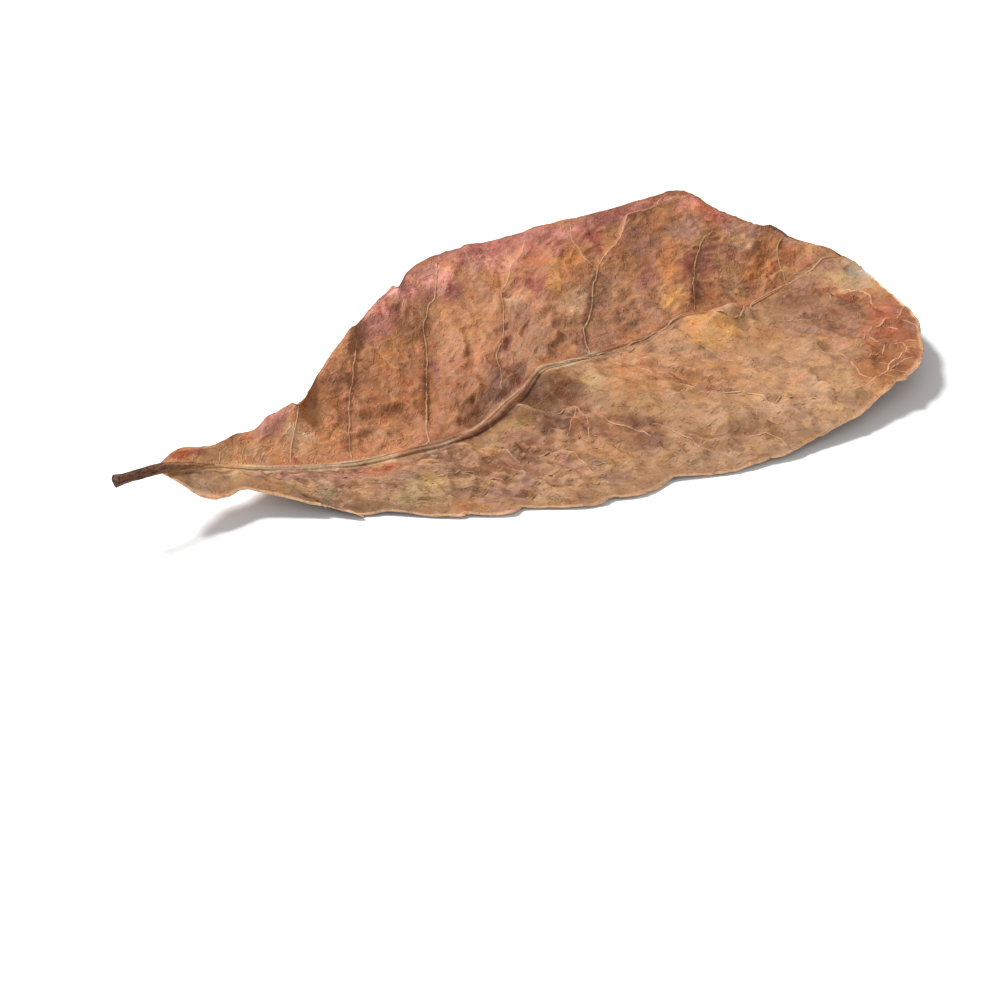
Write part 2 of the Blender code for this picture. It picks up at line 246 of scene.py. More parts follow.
WRINKLE_LINES = (
    (0.22, 0.25, -0.6, -0.6, ((495, 455), (500, 452), (507, 455), (515, 460), (522, 463))),
    (0.22, 0.20, -0.5, -0.7, (
        (538, 455), (550, 453), (560, 455), (572, 459), (580, 464), (585, 468), (593, 475),
    )),
    (0.18, 0.20, -0.5, -0.5, ((433, 477), (455, 475), (475, 475), (488, 477), (498, 481), (506, 485))),
    (0.18, 0.15, -0.3, -0.3, ((593, 469), (602, 468), (612, 470))),
    (0.20, 0.20, -0.4, -0.4, ((441, 454), (446, 457), (451, 459))),
    (0.22, 0.22, 0.5, 0.4, (
        (681, 331), (687, 337), (693, 343), (704, 348), (715, 354), (726, 359), (740, 359), (755, 360),
        (769, 359), (783, 359), (797, 363),
    )),
    (0.20, 0.20, -0.4, -0.4, ((747, 435), (762, 434), (773, 437), (781, 441), (788, 447))),
    (0.18, 0.18, -0.4, -0.3, ((812, 348), (821, 350), (828, 353), (838, 357), (848, 361))),
    (0.18, 0.18, 0.2, 0.2, ((776, 323), (790, 324), (806, 325))),
    (0.16, 0.16, -0.2, -0.2, ((740, 376), (748, 384), (752, 390))),
    (0.16, 0.16, -0.2, -0.2, ((786, 407), (797, 414), (806, 424))),
    (0.16, 0.16, -0.2, -0.2, ((770, 404), (786, 400), (806, 399), (822, 402))),
)
MIDRIB_LINES = (
    (0.26, 0.28, 0.0, 0.0, (
        (537, 371), (548, 367), (560, 364), (585, 359), (611, 353), (637, 343), (656, 334), (684, 316),
    )),
    (0.20, 0.22, 0.0, 0.0, ((556, 369), (590, 361), (620, 354), (645, 344), (665, 333), (681, 321))),
    (0.26, 0.26, -0.3, -0.3, (
        (709, 315), (719, 317), (732, 320), (744, 315), (756, 305), (770, 296), (784, 287),
    )),
    (0.24, 0.22, -0.2, -0.2, ((784, 287), (801, 277), (811, 270), (820, 261), (825, 258), (836, 254))),
)
TIP_LINES = (
    (0.28, 0.30, -0.15, -0.1, ((905.5, 307.5), (896, 319), (884, 324), (867, 335.5))),
    (0.24, 0.26, -0.2, -0.2, ((867, 335.5), (874.5, 339.5), (884, 342.7), (884.5, 348), (882.5, 353))),
    (0.20, 0.22, -0.1, -0.1, ((884, 345), (894, 344), (903.5, 343), (907.5, 347.5), (905.5, 353))),
    (0.18, 0.20, 0.0, 0.0, ((903.5, 343), (912, 340.5), (919, 342))),
    (0.22, 0.26, -0.1, -0.2, (
        (905.5, 353), (897.7, 357.7), (889, 362.5), (890, 366.5), (886, 372), (878.5, 378),
    )),
    (0.22, 0.26, -0.3, -0.4, (
        (878.5, 378), (871, 382.7), (863, 385.6), (851.5, 388.5), (838, 388.5), (824.6, 390.4),
    )),
    (0.18, 0.20, 0.0, 0.0, ((879.5, 360.6), (889, 362.5))),
    (0.18, 0.20, 0.0, 0.0, ((890, 367.3), (897.7, 364.4), (905.4, 360.6), (914, 357))),
    (0.18, 0.20, 0.0, 0.0, ((886.5, 373), (897.7, 372), (910, 372))),
    (0.18, 0.20, 0.0, 0.0, ((849.6, 362.5), (855.4, 368.3), (861.2, 373), (872.7, 378.8))),
    (0.18, 0.20, 0.0, 0.0, ((895.8, 319.2), (905.4, 321.2), (914, 323), (920, 329.8))),
    (0.18, 0.20, 0.0, 0.0, ((888, 327.9), (897.7, 328.8), (899.6, 332.7))),
    (0.16, 0.16, 0.0, 0.0, ((867, 335.5), (860, 341), (855, 347))),
    (0.16, 0.16, 0.0, 0.0, ((882.5, 353), (874, 356), (868, 361))),
    (0.16, 0.16, 0.0, 0.0, ((907.5, 347.5), (917, 350))),
    (0.16, 0.16, 0.0, 0.0, ((884, 376), (892, 379), (897, 380))),
    (0.24, 0.26, -0.2, -0.2, (
        (838, 288.5), (847.7, 290.4), (855.4, 291.3), (864, 295.2), (868.8, 300), (874.6, 303.8),
    )),
    (0.18, 0.20, 0.1, 0.1, ((826.5, 292.3), (826.5, 299), (831.3, 305.8))),
)
VEIN_PALENESS = (0.5, 0.8, 0.6, 0.7, 0.9)  # of the far, near, wrinkle, midrib and tip lines
LINE_STEP = 1.5
LADDER_GAPS = (2.6, 5.2)  # least and greatest distance between two cross veins
LADDER_VEIN = (0.10, 0.07, 0.25)  # half width, height and paleness of a cross vein
LADDER_SEED = 101
LADDER_POINTS = 9
LADDER_SLACK = 0.4  # how far a cross vein may stop short of the veins, in shares of their distance
LADDER_STOP = 2  # there is none nearer to the margin than this
LADDER_SHARES = (0.05, 0.97)
LADDER_SLANT = 0.12
LADDER_WAVER = (1.4, 4, 1, 103)
THREAD_SIDES = 8
THREAD_STEP = 0.45
THREAD_SINK = 0.08
THREAD_WAVER = (0.3, 2.5, 1, 109, 2)
THREAD_SWELL = (0.35, 1.8, 1, 105, 2)
THREAD_PATCHES = (0.5, 4, 1, 107, 2)
THREAD_PALE = 0.8
THREAD_TAPER = 5  # a vein gets thinner over this many half widths from its ends
THREAD_END = 0.05
THREAD_BELOW = 0.10
THREAD_FLATNESS = 0.5  # the share of its height that a vein shows above the blade
THREAD_LEAST = 4  # points of the shortest vein
RAY_HEIGHT = 60
STALK_RINGS = 160
STALK_SIDES = 48
STALK_SHRINKAGE = 0.92
STALK_FOLDS = (0.12, 5, 7, 91, 2)
STALK_BARK = (0.07, 2, 0.8, 95, 2)
STALK_NARROWING, STALK_NARROWEST = 0.35, 0.3  # with each millimetre that it sinks, and at most
STALK_FLATNESS = 0.92
STALK_DENT = 0.5
# How far the stalk sinks into the midrib: X and millimetres
STALK_SINK = ((-70.7, 0.0), (-58, 0.0), (-52, 0.15), (-46, 0.7), (-42, 1.2))
STALK_JOIN = (-63, -55)  # X from which the stalk's bark turns into the midrib's brown, and where it has

# Folds, in pixels: height in the middle, half width, how far the blade drops across it, and the line
FOLDS = (
    (0.40, 0.8, 0.6, ((459, 325), (465, 345), (467, 364))),
    (0.45, 0.8, 0.7, ((462, 260), (455, 272), (449, 283), (447, 294))),
    (0.30, 0.7, 0.4, ((665, 204), (675, 199), (682, 199), (688, 194))),
    (-0.30, 0.8, 0.4, ((723, 288), (735, 303), (744, 313))),
    (-0.70, 3.0, 0.0, ((513, 453), (522, 455), (532, 456))),
    (-0.40, 0.6, 0.0, ((403, 486), (410, 493), (415, 500))),
    (-0.50, 1.0, 0.3, ((687, 438), (701, 439), (721, 438), (740, 435), (752, 434), (762, 427), (771, 424))),
    (-0.50, 1.2, 0.0, ((660, 373), (672, 378), (684, 382), (698, 386), (712, 389), (735, 386))),
    (-0.35, 0.5, 0.0, ((484, 496), (488, 489))),
    (-0.35, 0.5, 0.0, ((506, 485), (507, 491), (512, 495))),
    (-0.40, 0.6, 0.0, ((640, 373), (655, 376), (672, 381), (690, 387))),
    (-0.40, 0.7, 0.0, ((690, 424), (712, 427), (740, 432), (768, 440))),
    (-0.50, 0.5, 0.2, ((318, 484), (327, 489), (334, 499), (340, 511))),
    (-0.40, 0.5, 0.2, ((326, 484), (336, 490), (345, 497))),
    (0.40, 0.6, 0.2, ((311, 490), (320, 497), (327, 505))),
    (0.40, 0.4, 0.0, ((193, 475), (197, 480))),
    (0.30, 0.6, -0.3, ((800, 296), (822, 303), (838, 311), (855, 318))),
    (-0.30, 0.6, 0.0, ((806, 322), (824, 326), (838, 331))),
    (-0.30, 0.6, 0.0, ((620, 388), (640, 395), (655, 399))),
)
# Short pits, also drawn dark as painted shade: height, half width, drop, half width in pixels, strength, and
# the line
PITS = (
    (-0.5, 0.6, 0.2, 0.9, 0.6, ((538, 478), (543, 484), (550, 487), (565, 487), (577, 490), (585, 492))),
    (-0.55, 0.6, 0, 1.3, 0.7, ((476, 480), (478, 487), (483, 494), (486, 498))),
    (-0.45, 0.5, 0, 1.1, 0.6, ((442, 485), (445, 493), (449, 498))),
    (-0.4, 0.5, 0, 0.9, 0.6, ((505, 487), (507, 492))),
    (-0.4, 0.5, 0, 0.9, 0.5, ((524, 467), (526, 473))),
    (-0.4, 0.5, 0, 0.9, 0.5, ((541, 494), (543, 500))),
    (-0.45, 0.7, 0, 1, 0.5, ((755, 361), (764, 367), (770, 372))),
)

# Colours of the dried blade
PALETTE = {
    "tan": (188, 145, 108), "sand": (200, 160, 125), "blush": (222, 158, 146), "rose": (186, 122, 112),
    "plum": (150, 90, 86), "wine": (140, 72, 62), "mauve": (174, 132, 118), "lilac": (160, 114, 96),
    "rust": (156, 80, 50), "coral": (196, 108, 76), "amber": (200, 134, 78), "gold": (210, 155, 92),
    "ochre": (190, 135, 92), "sienna": (170, 112, 70), "umber": (122, 78, 50), "soot": (62, 43, 32),
    "walnut": (148, 100, 74), "taupe": (160, 118, 90), "khaki": (186, 156, 108), "olive": (164, 130, 80),
    "sage": (160, 146, 118), "slate": (134, 132, 112), "chalk": (208, 203, 190), "violet": (112, 66, 90),
    "bone": (200, 176, 150), "russet": (152, 90, 60), "bark": (124, 76, 38), "petal": (250, 180, 165),
    "copper": (174, 104, 68), "cream": (222, 178, 142), "ivory": (236, 190, 150), "peat": (84, 52, 34),
}
FAR_COLOUR = (176, 122, 86)
NEAR_COLOUR = (182, 140, 104)
# The lamps light the blade a little over full, as they do the white floor
TINT_LEVEL = np.array((0.713, 0.68, 0.648))
BASE_PAINTED_LIGHT = 0.35  # painted light: the blade's base leans away from the lamp, so its colour is brightened to look pale
BASE_START = -16
BASE_SPAN = 14
RIM_PAINTED_LIGHT, TIP_PAINTED_LIGHT = 1.35, 0.35  # the near rim is pale, and as it stands in its own shade its colour is brightened past cream as painted light, most at the tip
RIM_WIDTH, TIP_RIM_WIDTH = 0.45, 0.2
RIM_SHARE, FAR_RIM_SHADE = 0.9, 0.2
TIP_START, TIP_SPAN = 30, 10
NEAR_SHADE = 0.16  # painted shade: how much darker the blade is towards the lower part of the near margin
# painted shade and light beside the veins
VEIN_SHADE_STRENGTH = 0.5
VEIN_SHADE_COLOUR = np.array((0.8, 1.0, 1.05))  # shares that the painted shade beside the veins takes of red, green and blue
UNDER_DULLNESS, UNDER_LEVEL = 0.35, 0.9

# Colour, middle in the photograph's pixels, reach across and down, turn clockwise in degrees, strength
STAINS = (
    # far half, broad first
    ("tan", 235, 455, 50, 13, 0, 0.9), ("tan", 300, 437, 26, 18, -20, 0.8),
    ("ochre", 330, 437, 24, 22, 0, 0.7), ("sienna", 318, 405, 22, 18, -30, 0.8),
    ("walnut", 338, 380, 14, 13, -40, 0.7), ("tan", 302, 431, 16, 11, 0, 0.8),
    ("ochre", 350, 360, 16, 18, -40, 0.7), ("sienna", 395, 405, 34, 30, 0, 0.8),
    ("ochre", 400, 440, 30, 18, 0, 0.7), ("sienna", 455, 395, 32, 26, 0, 0.8),
    ("ochre", 480, 330, 38, 28, 0, 0.8), ("taupe", 530, 340, 34, 22, 0, 0.8),
    ("taupe", 600, 315, 44, 34, 0, 0.8), ("sand", 578, 300, 12, 12, 0, 0.6),
    ("rose", 375, 318, 22, 20, -45, 0.8), ("rose", 405, 285, 20, 14, -45, 0.9),
    ("blush", 436, 280, 15, 20, 20, 0.75), ("rose", 480, 250, 44, 11, -14, 0.9),
    ("rose", 540, 238, 44, 12, -13, 0.85), ("plum", 610, 216, 34, 9, -13, 0.8),
    ("ochre", 500, 275, 20, 16, 0, 0.6), ("coral", 536, 258, 15, 11, 0, 0.5),
    ("wine", 531, 284, 16, 12, 15, 0.55), ("gold", 556, 278, 8, 18, 0, 0.6),
    ("amber", 571, 262, 12, 12, 20, 0.75), ("plum", 556, 246, 7, 9, 0, 0.6),
    ("plum", 591, 237, 11, 8, 0, 0.8), ("ochre", 603, 262, 13, 16, 0, 0.7),
    ("taupe", 600, 292, 16, 22, 0, 0.7), ("lilac", 640, 245, 16, 18, 0, 0.7),
    ("plum", 650, 275, 8, 15, 10, 0.6), ("tan", 650, 298, 16, 14, 0, 0.6),
    ("amber", 668, 262, 7, 20, 0, 0.85), ("gold", 672, 297, 15, 11, -10, 0.9),
    ("wine", 686, 262, 6, 17, 5, 0.85), ("umber", 700, 291, 4.5, 12, 0, 0.85),
    ("mauve", 683, 228, 18, 11, 0, 0.7), ("ochre", 672, 210, 16, 9, 0, 0.7),
    ("rose", 650, 202, 24, 5, -13, 0.8), ("coral", 694, 201, 16, 8, 28, 0.8),
    ("rose", 722, 218, 18, 7, 25, 0.8), ("mauve", 745, 231, 24, 8, 18, 0.8),
    ("olive", 701, 240, 6, 5, 0, 0.8), ("plum", 706, 261, 9, 13, 0, 0.7),
    ("tan", 728, 270, 14, 20, -20, 0.7), ("sienna", 713, 297, 11, 9, 0, 0.7),
    ("ochre", 735, 296, 16, 14, 0, 0.6), ("sienna", 763, 264, 18, 24, 0, 0.8),
    ("russet", 792, 252, 15, 11, 15, 0.8), ("rust", 802, 264, 12, 6, -20, 0.5),
    ("tan", 803, 244, 20, 4.5, 24, 0.8), ("blush", 688, 203, 14, 7, 10, 0.6),
    ("rust", 741, 310, 7, 4, 0, 0.7), ("olive", 786, 275, 14, 8, 0, 0.5),
    ("copper", 885, 335, 44, 44, 0, 0.9), ("walnut", 830, 322, 44, 20, 0, 0.85),
    ("taupe", 785, 325, 24, 14, 0, 0.8), ("tan", 828, 256, 16, 4, 28, 0.8),
    ("walnut", 800, 292, 24, 12, -20, 0.8), ("taupe", 820, 276, 16, 9, -20, 0.8),
    ("khaki", 842, 280, 18, 9, 10, 0.9), ("sage", 862, 275, 20, 13, 40, 0.7),
    ("chalk", 869, 272, 11, 9, 40, 0.75), ("walnut", 845, 268, 7, 5, 30, 0.6),
    ("slate", 850, 270, 8, 6, 40, 0.6), ("tan", 872, 286, 12, 6, 20, 0.7),
    ("rust", 827, 290, 9, 3.5, -15, 0.9), ("rust", 846, 299, 17, 6, 10, 0.9),
    ("sienna", 868, 305, 14, 8, 20, 0.8), ("taupe", 851, 322, 14, 13, 0, 0.8),
    ("walnut", 858, 312, 9, 6, 0, 0.6), ("ochre", 762, 335, 18, 14, 0, 0.6),
    ("russet", 894, 318, 24, 15, 40, 0.8), ("coral", 893, 331, 6, 4, 0, 0.5),
    ("lilac", 910, 326, 11, 10, 40, 0.7), ("tan", 848, 352, 15, 10, 0, 0.8),
    ("copper", 880, 345, 14, 8, 0, 0.7), ("sienna", 902, 352, 13, 9, 0, 0.8),
    ("sienna", 868, 366, 22, 12, -20, 0.85), ("sienna", 877, 374, 24, 9, -20, 0.85),
    ("russet", 897, 365, 12, 10, 0, 0.5), ("umber", 897, 371, 10, 7, -30, 0.6),
    ("amber", 885, 388, 14, 5, -40, 0.6), ("khaki", 840, 378, 14, 9, 0, 0.7),
    # base
    ("rust", 178, 456, 14, 5, -10, 0.9), ("wine", 197, 452, 11, 3.5, 0, 0.7),
    ("lilac", 274, 419, 24, 11, -38, 0.95), ("plum", 262, 431, 14, 3, -15, 0.4),
    ("plum", 275, 420, 14, 8, -38, 0.5), ("rose", 270, 414, 12, 6, -40, 0.6),
    ("lilac", 300, 480, 30, 5, 0, 0.85), ("lilac", 346, 476, 20, 6, 0, 0.85),
    ("coral", 382, 473, 18, 5, -8, 0.4), ("sage", 327, 496, 13, 16, -30, 0.5),
    ("taupe", 352, 503, 18, 10, 0, 0.7), ("ochre", 262, 487, 30, 9, 8, 0.8),
    ("sand", 225, 487, 22, 9, 0, 0.9), ("cream", 199, 488, 12, 9, 30, 0.9),
    ("taupe", 302, 495, 16, 8, 0, 0.8), ("ochre", 168, 470, 14, 7, 0, 0.7),
    ("walnut", 213, 473, 16, 3, 0, 0.6),
    # near half
    ("gold", 712, 335, 30, 19, 10, 0.75), ("amber", 690, 325, 9, 9, 0, 0.6),
    ("umber", 667, 329, 13, 6, -15, 0.9), ("ochre", 640, 375, 42, 20, 0, 0.8),
    ("ochre", 715, 375, 46, 18, 0, 0.7), ("tan", 780, 370, 50, 18, 0, 0.8),
    ("sand", 800, 400, 56, 22, -10, 0.8), ("tan", 720, 425, 50, 18, 0, 0.8),
    ("sand", 830, 420, 34, 14, -20, 0.8), ("sand", 745, 455, 55, 11, -10, 0.7),
    ("tan", 680, 466, 40, 14, 0, 0.8), ("walnut", 645, 437, 20, 13, 0, 0.8),
    # the bark at 553, 389 and the soot at 527, 398 are painted shade of the hollow by the midrib's kink, over
    # the blade's brown
    ("umber", 636, 424, 17, 9, 15, 0.6), ("bark", 553, 389, 32, 20, -8, 0.8),
    ("khaki", 592, 381, 13, 12, 40, 0.8), ("soot", 527, 398, 12, 8, -40, 0.95),
    ("umber", 560, 402, 22, 7, 0, 0.6), ("bark", 600, 397, 24, 10, 5, 0.4),
    ("bark", 560, 422, 50, 12, 3, 0.8), ("bark", 634, 424, 26, 13, 20, 0.5),
    ("bark", 652, 442, 16, 10, 0, 0.4), ("bark", 502, 469, 34, 8, 5, 0.6),
    ("bark", 300, 477, 34, 4, 0, 0.8), ("walnut", 400, 475, 22, 6, 0, 0.5),
    ("bark", 820, 305, 44, 12, 10, 0.35), ("umber", 556, 420, 28, 10, 0, 0.95),
    ("sienna", 580, 426, 12, 14, 0, 0.8), ("sienna", 612, 432, 18, 14, 0, 0.6),
    ("ochre", 602, 455, 34, 11, 0, 0.7), ("olive", 515, 425, 24, 8, -10, 0.8),
    ("olive", 483, 441, 22, 8, -28, 0.85), ("walnut", 528, 444, 30, 12, 0, 0.8),
    ("walnut", 530, 465, 34, 8, 5, 0.8), ("tan", 572, 469, 26, 8, 8, 0.85),
    ("taupe", 495, 470, 30, 9, 0, 0.8), ("taupe", 450, 467, 32, 8, -5, 0.8),
    ("taupe", 400, 478, 20, 10, 0, 0.8), ("khaki", 430, 486, 20, 9, 0, 0.8),
    ("khaki", 408, 500, 18, 12, 0, 0.8), ("khaki", 442, 500, 11, 9, 0, 0.6),
    ("amber", 470, 507, 22, 5, 0, 0.7), ("taupe", 464, 491, 14, 8, 0, 0.8),
    ("lilac", 498, 492, 14, 9, 0, 0.8), ("mauve", 522, 490, 14, 12, 0, 0.6),
    ("sand", 552, 501, 18, 8, 0, 0.7), ("tan", 590, 489, 24, 10, 0, 0.7),
    ("taupe", 560, 485, 16, 5, 0, 0.6), ("tan", 625, 470, 22, 9, 0, 0.7),
    ("umber", 501, 375, 19, 11, 0, 0.85), ("olive", 524, 364, 9, 6, 0, 0.6),
    # the walnut at 412, 333 is painted shade of the valley beside a far vein
    ("walnut", 412, 333, 11, 7, 0, 0.7), ("ochre", 398, 350, 14, 13, 0, 0.6),
    ("amber", 385, 362, 11, 14, 30, 0.6), ("wine", 452, 288, 6, 9, 20, 0.7),
    # the wine at 463, 257 is a painted shadow beside a far vein
    ("wine", 463, 257, 5, 6, 30, 0.6), ("sand", 514, 303, 10, 9, 0, 0.7),
    # paler and darker places; the petal ones at the far left margin are painted light where it leans away from
    # the lamp
    ("sand", 740, 243, 18, 7, 20, 0.8), ("tan", 735, 290, 12, 12, 0, 0.7),
    ("amber", 760, 270, 12, 14, 0, 0.7), ("sand", 835, 420, 20, 12, -20, 0.9),
    ("tan", 562, 470, 22, 7, 8, 0.8), ("petal", 405, 290, 16, 12, -45, 0.75),
    ("petal", 376, 314, 14, 10, -45, 0.5), ("petal", 440, 281, 12, 14, 20, 0.5),
    ("blush", 480, 265, 14, 10, 0, 0.5), ("walnut", 600, 430, 16, 10, 0, 0.5),
    ("walnut", 500, 472, 22, 6, 0, 0.6), ("walnut", 350, 486, 20, 7, 0, 0.7),
    ("walnut", 300, 478, 30, 4, 0, 0.8), ("umber", 800, 300, 22, 9, -15, 0.5),
    ("walnut", 828, 262, 12, 6, 30, 0.7), ("umber", 850, 308, 12, 7, 0, 0.5),
    ("walnut", 650, 300, 14, 12, 0, 0.6), ("umber", 457, 286, 7, 12, 20, 0.6),
    ("walnut", 520, 322, 14, 20, 0, 0.6), ("sienna", 878, 356, 18, 10, 0, 0.6),
    ("tan", 230, 455, 22, 10, 0, 0.8), ("tan", 302, 434, 14, 12, 0, 0.8),
    ("cream", 203, 489, 14, 8, 0, 0.7),
    # small marks; the petal ones at 405, 289 are painted light, as above
    ("plum", 434, 368, 5, 13, 0, 0.7), ("plum", 507, 344, 6, 13, 0, 0.6), ("umber", 468, 355, 3, 7, 0, 0.7),
    ("violet", 506, 298, 4, 2, 0, 0.7), ("walnut", 455, 392, 24, 20, 0, 0.5),
    ("sienna", 884, 372, 12, 7, 0, 0.7), ("ochre", 884, 388, 12, 6, 0, 0.7),
    ("tan", 320, 412, 12, 9, 0, 0.5), ("ochre", 800, 255, 14, 7, 15, 0.6),
    ("cream", 835, 420, 18, 9, -20, 0.6), ("sand", 300, 490, 20, 6, 0, 0.7),
    ("plum", 625, 217, 18, 6, -13, 0.6), ("tan", 850, 286, 11, 5, 0, 0.7),
    ("sienna", 886, 350, 14, 9, 0, 0.7), ("petal", 405, 289, 12, 9, -45, 0.5),
    # the wine at 463, 258 is the same painted shadow beside a far vein
    ("wine", 453, 289, 7, 9, 30, 0.8), ("wine", 463, 258, 4, 5, 30, 0.8), ("plum", 593, 238, 9, 6, 0, 0.8),
    ("wine", 598, 253, 5, 5, 0, 0.7), ("plum", 558, 252, 7, 8, 20, 0.8),
    ("wine", 532, 286, 15, 10, 15, 0.6), ("blush", 500, 262, 20, 10, -20, 0.5),
    ("blush", 560, 232, 16, 7, -13, 0.5), ("cream", 575, 305, 18, 9, 0, 0.4),
    ("peat", 560, 421, 34, 9, 3, 0.35), ("bone", 300, 435, 14, 10, 0, 0.5),
    ("peat", 652, 441, 14, 8, 0, 0.2), ("tan", 618, 290, 10, 14, 0, 0.5), ("bark", 640, 262, 7, 10, 0, 0.5),
    ("plum", 641, 285, 6, 6, 0, 0.6), ("coral", 590, 235, 14, 8, 0, 0.3), ("gold", 680, 300, 14, 9, 0, 0.5),
    ("petal", 684, 203, 16, 7, 0, 0.2), ("coral", 715, 218, 14, 8, 20, 0.45),
    ("tan", 735, 290, 13, 11, 0, 0.6), ("amber", 764, 268, 13, 10, 0, 0.4),
    ("amber", 770, 243, 14, 8, 15, 0.45), ("amber", 560, 250, 11, 9, 0, 0.3),
    ("coral", 882, 313, 13, 9, 20, 0.4), ("tan", 430, 310, 14, 14, -30, 0.5),
    ("petal", 405, 289, 13, 10, -45, 0.45), ("ochre", 562, 384, 16, 9, 0, 0.35),
    ("peat", 504, 387, 11, 9, -40, 0.4), ("ochre", 450, 263, 12, 8, -20, 0.25),
    ("lilac", 270, 425, 20, 9, -38, 0.4), ("bark", 800, 302, 26, 10, -10, 0.4),
    ("bark", 886, 348, 14, 9, 0, 0.4), ("olive", 560, 385, 18, 9, 0, 0.35),
)
SOFT_SHADE_AND_STAINS = ("umber", "soot", "walnut", "bark", "peat")  # dark colours that fade out softly: brown stains, and partly painted shade in the hollows
WANDER_U = ((6, 5, 5, 81), (4, 1.6, 1.6, 83, 2))
WANDER_V = ((5, 5, 5, 85), (3.5, 1.6, 1.6, 87, 2))
FRAYS, FRAY_SIZE, FRAY_SHIFT, FRAY_SEED, FRAY_DEPTH = 6, 1.9, 7.7, 111, 3.2
PATCHY = (0.4, 2.2, 2.2, 89, 2)

# Lines and bands of colour: colour, half width in pixels, strength, and the line in pixels
STROKES = (
    # beside the midrib: dark bands, partly the blade's brown and partly painted shade of the hollows along it
    ("umber", 13, 0.75, (
        (440, 456), (462, 447), (480, 432), (500, 410), (522, 396), (548, 386), (572, 394),
    )),
    ("walnut", 9, 0.7, ((420, 458), (440, 446), (462, 434), (480, 418), (496, 400))),
    # midrib, from the stalk on: its fibres, with pale upper strips partly painted light and dark lower lines
    # partly painted shade of its ridge
    ("sand", 6.0, 0.8, ((165, 469), (185, 468), (205, 467), (225, 468), (240, 470))),
    ("umber", 1.0, 0.8, ((186, 473), (205, 472), (231, 472), (243, 473))),
    ("umber", 0.9, 0.7, ((205, 465.5), (228, 466.5))),
    ("khaki", 1.0, 0.5, ((170, 471), (200, 469), (230, 470))),
    ("lilac", 4.0, 0.7, ((255, 478), (300, 478), (340, 476), (362, 474))),
    ("bone", 2.6, 0.95, ((243, 470), (270, 470), (322, 468.5), (360, 465.5), (385, 462.5), (398, 461))),
    ("umber", 1.0, 0.7, ((262, 474.5), (290, 474), (330, 472), (362, 469), (366, 467))),
    ("copper", 3.2, 0.85, ((366, 472), (385, 471), (405, 468), (425, 463))),
    ("sand", 0.8, 0.8, ((400, 474.5), (420, 468), (440, 459.5), (452, 455))),
    ("taupe", 5.0, 0.85, (
        (402, 461), (425, 456), (446, 449), (468, 438), (485, 424), (500, 410), (515, 396), (530, 380),
    )),
    ("umber", 1.3, 0.9, (
        (400, 470), (420, 465), (446, 453.5), (471, 441), (497, 422), (517, 407), (528, 398), (538, 374),
    )),
    ("bone", 0.9, 0.8, (
        (420, 458), (446, 450), (471, 436), (497, 412), (508, 401), (527, 385), (538, 372),
    )),
    ("umber", 0.9, 0.7, ((430, 449), (455, 440), (478, 424), (497, 402), (517, 386), (535, 371))),
    ("umber", 0.8, 0.5, ((425, 461), (450, 451), (475, 437), (495, 418), (510, 404))),
    ("wine", 2.2, 0.85, ((502, 398), (514, 388), (526, 379))),
    ("bone", 3.2, 0.8, ((538, 371), (552, 367), (572, 363), (592, 358))),
    ("taupe", 2.6, 0.8, ((588, 359), (616, 353), (641, 343), (660, 333), (682, 319))),
    ("umber", 0.8, 0.6, ((545, 366), (570, 360), (592, 354), (620, 348), (650, 334), (678, 317))),
    ("umber", 0.8, 0.6, ((556, 371), (580, 365), (605, 359), (630, 351), (652, 342))),
    ("bone", 1.2, 0.6, ((580, 352), (592, 353), (600, 356))),
    # dark bands along the midrib before its kink: partly its brown and partly painted shade
    ("bark", 11, 0.95, ((468, 418), (488, 399), (503, 383), (517, 371))),
    ("peat", 7, 0.7, ((478, 410), (492, 396), (505, 383), (516, 373))),
    ("russet", 3.0, 0.4, ((496, 390), (505, 382), (513, 376))),
    ("umber", 2.4, 0.75, ((452, 449), (476, 437), (498, 420), (514, 406), (524, 394), (532, 381))),
    ("peat", 1.1, 0.8, ((470, 443), (497, 424), (518, 408), (530, 397), (539, 376))),
    ("peat", 0.8, 0.6, ((478, 425), (497, 403), (516, 388), (534, 372))),
    ("gold", 1.3, 0.8, ((700, 313), (709, 315), (719, 317), (732, 320), (744, 315))),
    # marks and margins
    # painted shadow beside a far vein
    ("wine", 3.0, 0.6, ((459, 252), (468, 264))),
    ("violet", 1.2, 0.6, ((378, 305), (388, 292), (398, 287))),
    ("violet", 1.2, 0.5, ((408, 268), (420, 262), (440, 254), (470, 244), (520, 232))),
    ("violet", 1.3, 0.7, ((704, 250), (718, 246), (733, 247), (741, 251))),
    ("soot", 1.2, 0.6, ((680, 243), (690, 247), (700, 249))),
    ("soot", 1.9, 0.95, ((773, 228), (780, 231), (787, 234))),
    ("umber", 0.9, 0.7, ((240, 441), (248, 438), (256, 437))),
    ("amber", 1.3, 0.7, (
        (924, 328), (929, 338), (919, 350), (916, 362), (911, 375), (905, 384), (898, 381), (895, 386),
        (883, 397),
    )),
    ("bone", 0.7, 0.8, ((584, 351), (596, 358))),
    ("bone", 0.7, 0.8, ((586, 358), (595, 352))),
    ("gold", 1.6, 0.6, ((380, 354), (387, 362), (397, 372))),
    ("sand", 1.0, 0.6, ((665, 203), (675, 198), (682, 199), (687, 194))),
    # from here to the walnut fold line: painted shade in grooves and on the low sides of veins and folds
    ("plum", 1.4, 0.6, ((658, 371), (672, 376), (686, 382))),
    ("walnut", 2.2, 0.6, ((698, 385), (712, 388), (724, 387), (735, 385))),
    ("umber", 5.0, 0.5, ((512, 452), (522, 455), (532, 457))),
    ("plum", 4.0, 0.5, ((556, 461), (566, 464), (574, 468), (580, 472))),
    ("walnut", 2.0, 0.6, (
        (687, 437), (701, 437), (721, 436), (740, 433), (752, 431), (762, 425), (771, 422),
    )),
    ("umber", 0.9, 0.6, ((854, 342), (859, 340), (865, 337))),
    # painted shade on the low side of a wrinkle
    ("walnut", 1.5, 0.5, ((820, 353), (828, 356), (838, 360), (848, 365))),
)
STROKE_STEP = 8

